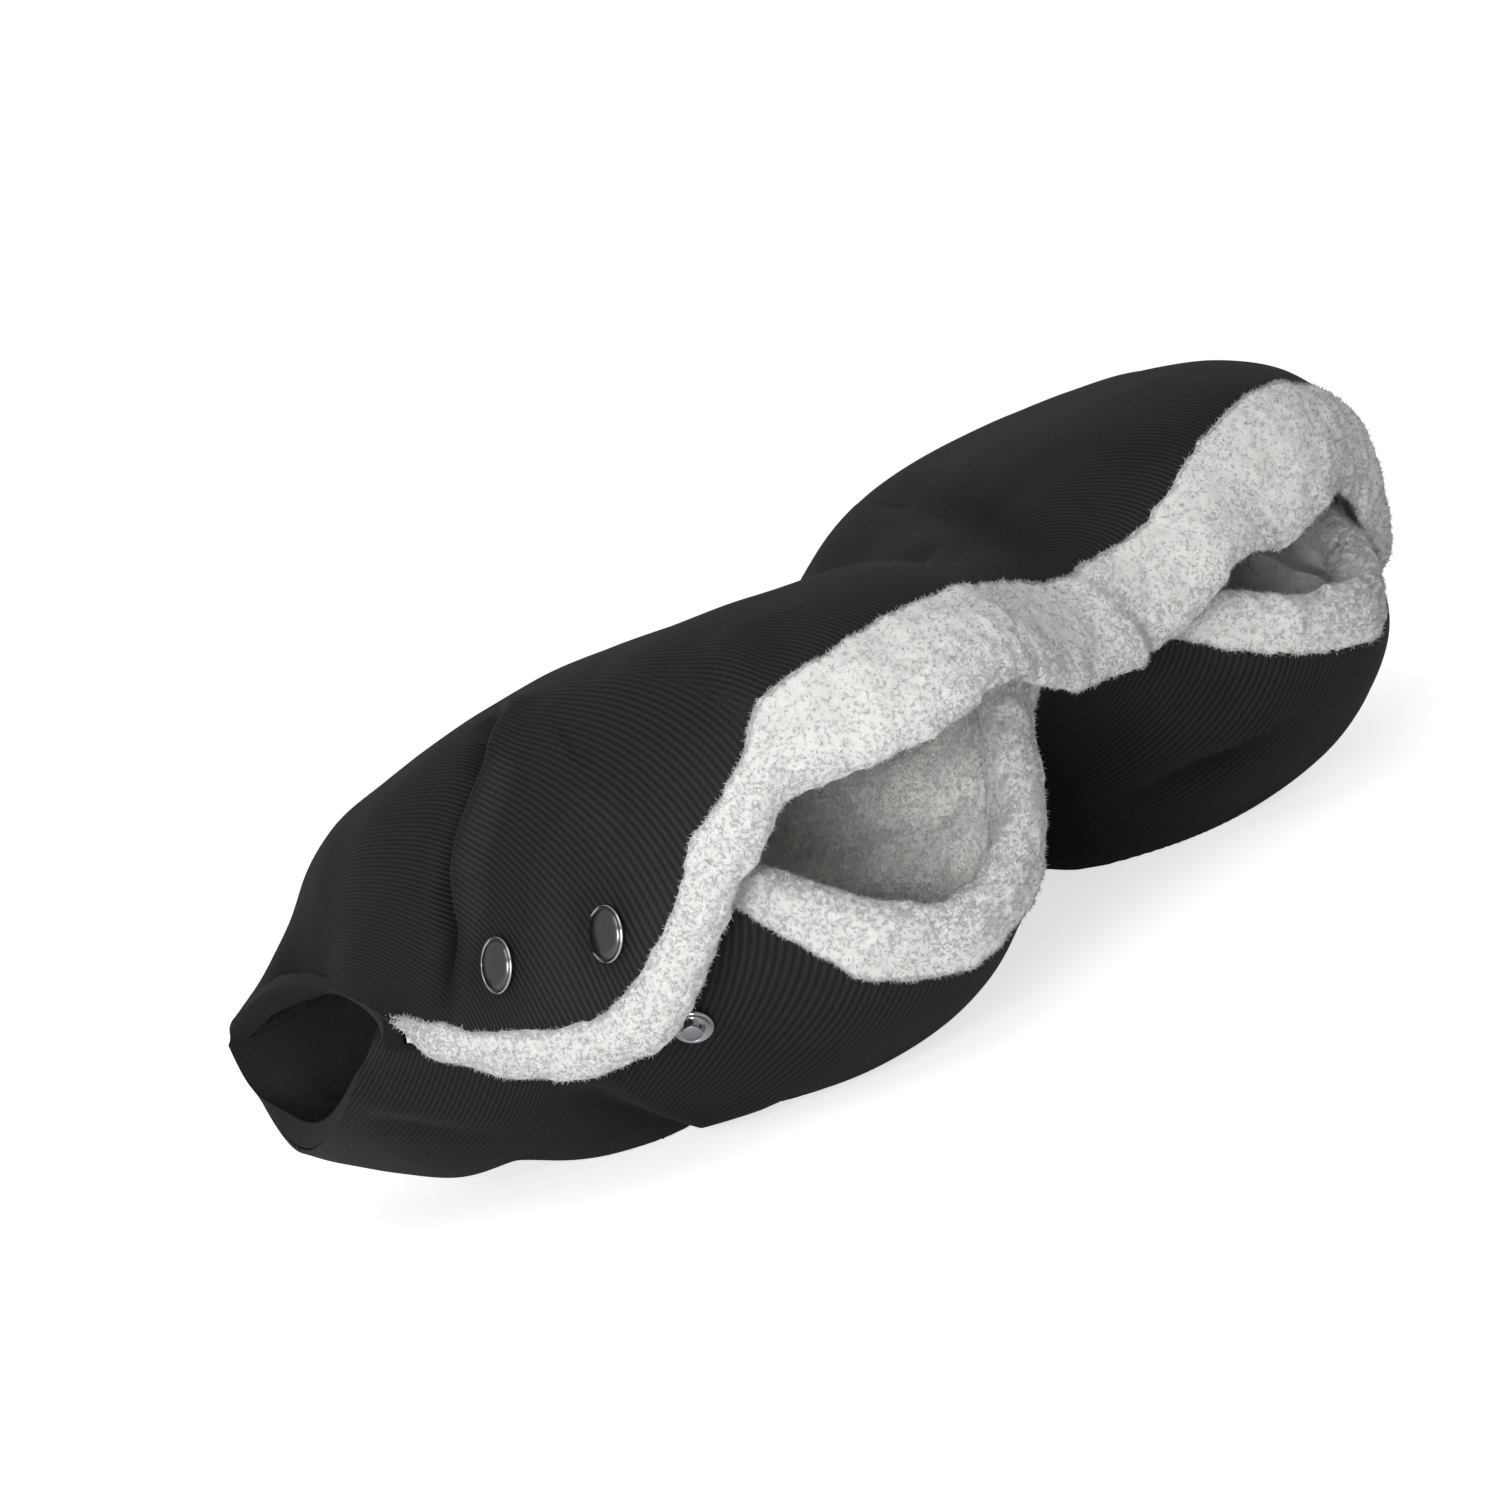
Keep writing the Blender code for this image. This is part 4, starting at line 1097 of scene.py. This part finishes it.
class MUFF_OT_hems(bpy.types.Operator):
    """Makes the black facings inside the sleeve ends"""
    bl_idname = "muff.hems"
    bl_label = "Sleeve hems"

    def execute(self, context):
        mat = bpy.data.materials["hem_tape"]
        for side, sign in SIDES.items():
            for label, panel, node in (("upper", UPPER, f"flap_{side}_hem_facing"),
                                       ("lower", LOWER, f"lower_{side}_hem_facing")):
                stations, shares = places(0, 1, *HEM_STEPS)
                stations = sign * (LAST - hem_reach(shares) * (1 - stations if sign > 0 else stations))
                stations = np.sort(stations, axis=0)
                spots, out, _ = panel.frames(stations, shares)
                turned = ease((np.abs(stations) - LAST + HEM_TURN_STATIONS) / HEM_FOLD_STATIONS)
                turned = np.maximum(turned, ease((HEM_SEAM_SHARE - shares) / HEM_SEAM_FALL))[..., None]
                sunk = pressed_in(panel, stations, shares, spots)
                under_shell, upper_depth, under_depth = (
                    depth_at(layer, stations, shares)
                    for layer in ((SHELL_THICKNESS + CLEARANCE, 0), below_panel(HEM_TOP_GAP),
                                  below_panel(HEM_UNDER_GAP)))
                top = spots - out * ((upper_depth + sunk) * (1 - turned) + under_shell * turned)
                under = spots - out * (under_depth + sunk)
                mesh = sheet_mesh(f"{label}_hem_{side}", top, under, panel.outward, cloth_lengths(spots))
                hem = link(f"{label}_hem_{side}", mesh, mat, None)
                if panel is UPPER:
                    flex(hem)
                else:
                    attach(hem, "muff")
                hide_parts(node)
        return {"FINISHED"}


class MUFF_OT_snaps(bpy.types.Operator):
    """Makes the press-stud caps and finishes the other fittings"""
    bl_idname = "muff.snaps"
    bl_label = "Press studs"

    def execute(self, context):
        metal = context.scene.muff_metal
        cap_mat, stud_mat = bpy.data.materials["nickel_cap_painted_dark_reflection"], bpy.data.materials["nickel_stud"]
        radius, rise, rim = metal.cap_radius, metal.cap_rise, CAP_RIM_HEIGHT
        for side, sign in SIDES.items():
            for which, (station, share) in SNAP_PLACES.items():
                spot, out, _ = (Vector(row[0]) for row in UPPER.frames([sign * station], [share]))
                profile = [(radius * part, rim * lift) for part, lift in CAP_RIM_SHARES]
                for degrees in CAP_DOME_DEGREES:
                    turn = math.radians(degrees)
                    profile.append((radius * CAP_DOME_SHARE * math.cos(turn),
                                    rim + (rise - rim) * math.sin(turn)))
                profile.append((0, rise))
                mesh = turned_mesh("cap", profile)
                cap = link(f"{which}_snap_cap_{side}", mesh, cap_mat, None)
                # The rim's faces take the light tone: a painted highlight
                mesh.materials.append(bpy.data.materials["nickel_rim_painted_highlight"])
                for face in mesh.polygons[:(len(CAP_RIM_SHARES) - 2) * METAL_FACETS]:
                    face.material_index = 1
                way = Vector((sign * CAP_WAY[0], CAP_WAY[1], CAP_WAY[2]))
                stand(cap, spot, out, (out + way * metal.cap_tip).normalized())
                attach(cap, f"flap_{side}")
                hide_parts(f"{which}_cap_{side}")
            station, share = SPARE_PLACE
            spot, out, _ = (Vector(row[0]) for row in LOWER.frames([sign * station], [share]))
            profile = [(metal.stud_radius * part, metal.stud_height * lift) for part, lift in STUD_SHARES]
            stud = link(f"spare_snap_stud_{side}", turned_mesh("stud", profile), stud_mat, None)
            stand(stud, spot, out, out)
            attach(stud, "muff")
            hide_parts(f"spare_stud_{side}")
        finish_nodes(("stud", "socket"), stud_mat)
        return {"FINISHED"}


class MUFF_OT_patches(bpy.types.Operator):
    """Finishes the fastening patches between the hand openings"""
    bl_idname = "muff.patches"
    bl_label = "Centre patches"

    def execute(self, context):
        finish_nodes(("patch",), bpy.data.materials["hem_tape"])
        return {"FINISHED"}


def area_light(name, place, size, power):
    light = bpy.data.lights.new(name, "AREA")
    light.size = size
    light.energy = power
    obj = bpy.data.objects.new(name, light)
    bpy.context.scene.collection.objects.link(obj)
    obj.location = place
    obj.rotation_euler = (Vector(LIGHT_TARGET) - place).to_track_quat("-Z", "Y").to_euler()


class MUFF_OT_stage(bpy.types.Operator):
    """Makes the floor, the lights and the camera"""
    bl_idname = "muff.stage"
    bl_label = "Stage"

    def execute(self, context):
        scene, studio = context.scene, context.scene.muff_studio
        mat, nodes, links, shader = new_material("pale_floor")
        settle(shader, {"Base Color": (FLOOR_TONE, FLOOR_TONE, FLOOR_TONE, 1), "Roughness": 0.9,
                        "Emission Color": (1, 1, 1, 1)})
        glow = nodes.new("ShaderNodeLightPath")
        lift = add(nodes, "ShaderNodeMath", operation="MULTIPLY")
        lift.inputs[1].default_value = studio.floor_glow
        links.new(glow.outputs["Is Camera Ray"], lift.inputs[0])
        links.new(lift.outputs[0], shader.inputs["Emission Strength"])
        corners = FLOOR_REACH * np.array([(-1, -1, 0), (1, -1, 0), (1, 1, 0), (-1, 1, 0)])
        mesh = mesh_from("floor", corners, [(0, 1, 2, 3)])
        floor = bpy.data.objects.new("floor", mesh)
        scene.collection.objects.link(floor)
        mesh.materials.append(mat)
        floor.location.z = -FLOOR_GAP

        world = bpy.data.worlds.new("studio")
        scene.world = world
        world.use_nodes = True
        nodes, links = world.node_tree.nodes, world.node_tree.links
        backdrop = nodes["Background"]
        settle(backdrop, {"Color": (1, 1, 1, 1)})
        rays = nodes.new("ShaderNodeLightPath")
        pick = add(nodes, "ShaderNodeMapRange", {"To Min": studio.ambient, "To Max": 1})
        links.new(rays.outputs["Is Camera Ray"], pick.inputs["Value"])
        links.new(pick.outputs["Result"], backdrop.inputs["Strength"])

        turn, lift, roll = (math.radians(v) for v in (studio.azimuth, studio.elevation, studio.roll))
        back = Vector((math.sin(turn) * math.cos(lift), -math.cos(turn) * math.cos(lift),
                       math.sin(lift)))
        level_right = Vector((math.cos(turn), math.sin(turn), 0))
        level_up = back.cross(level_right)
        right = level_right * math.cos(roll) - level_up * math.sin(roll)
        up = level_right * math.sin(roll) + level_up * math.cos(roll)
        aim = Vector((0, MIDDLE_SHIFT, AIM_HEIGHT - FLOOR_DROP))
        across, down = (pixel - HALF_FRAME_PIXELS for pixel in AIM_PIXEL)
        place = (aim + back * studio.distance - right * across / FOCAL_PIXELS * studio.distance
                 + up * down / FOCAL_PIXELS * studio.distance)
        camera = bpy.data.objects.new("camera", bpy.data.cameras.new("camera"))
        scene.collection.objects.link(camera)
        camera.data.sensor_width = SENSOR_WIDTH
        camera.data.lens = SENSOR_WIDTH * FOCAL_PIXELS / (2 * HALF_FRAME_PIXELS)
        camera.matrix_world = Matrix.Translation(place) @ Matrix((right, up, back)).transposed().to_4x4()
        scene.camera = camera

        away, left, rise, size = KEY_LIGHT
        area_light("key", aim + back * away - right * left + up * rise, size, studio.key)
        away, left, size = FRONT_LIGHT
        area_light("front", aim + back * away - level_right * left, size, studio.front)
        scene.view_settings.view_transform = "Standard"
        return {"FINISHED"}


class MUFF_PT_sidebar(bpy.types.Panel):
    """Lists the muff's settings and steps"""
    bl_idname = "MUFF_PT_sidebar"
    bl_label = "Hand muff"
    bl_space_type = "VIEW_3D"
    bl_region_type = "UI"
    bl_category = "Hand muff"

    def draw(self, context):
        for group in GROUPS:
            settings = getattr(context.scene, group)
            for label in settings.__annotations__:
                self.layout.prop(settings, label)
        for step in STEPS:
            self.layout.operator(step.bl_idname)


GROUPS = {"muff_cloth": MuffCloth, "muff_fleece": MuffFleece, "muff_metal": MuffMetal,
          "muff_studio": MuffStudio}
STEPS = (MUFF_OT_finishes, MUFF_OT_shells, MUFF_OT_linings, MUFF_OT_edges, MUFF_OT_hems,
         MUFF_OT_snaps, MUFF_OT_patches, MUFF_OT_stage)


def register():
    for name, group in GROUPS.items():
        bpy.utils.register_class(group)
        setattr(bpy.types.Scene, name, bpy.props.PointerProperty(type=group))
    for step in STEPS + (MUFF_PT_sidebar,):
        bpy.utils.register_class(step)


def unregister():
    for step in (MUFF_PT_sidebar,) + STEPS[::-1]:
        bpy.utils.unregister_class(step)
    for name, group in GROUPS.items():
        delattr(bpy.types.Scene, name)
        bpy.utils.unregister_class(group)


def main():
    register()
    bpy.ops.muff.finishes()
    bpy.ops.muff.shells()
    bpy.ops.muff.linings()
    bpy.ops.muff.edges()
    bpy.ops.muff.hems()
    bpy.ops.muff.snaps()
    bpy.ops.muff.patches()
    bpy.ops.muff.stage()


if __name__ == "__main__":
    main()
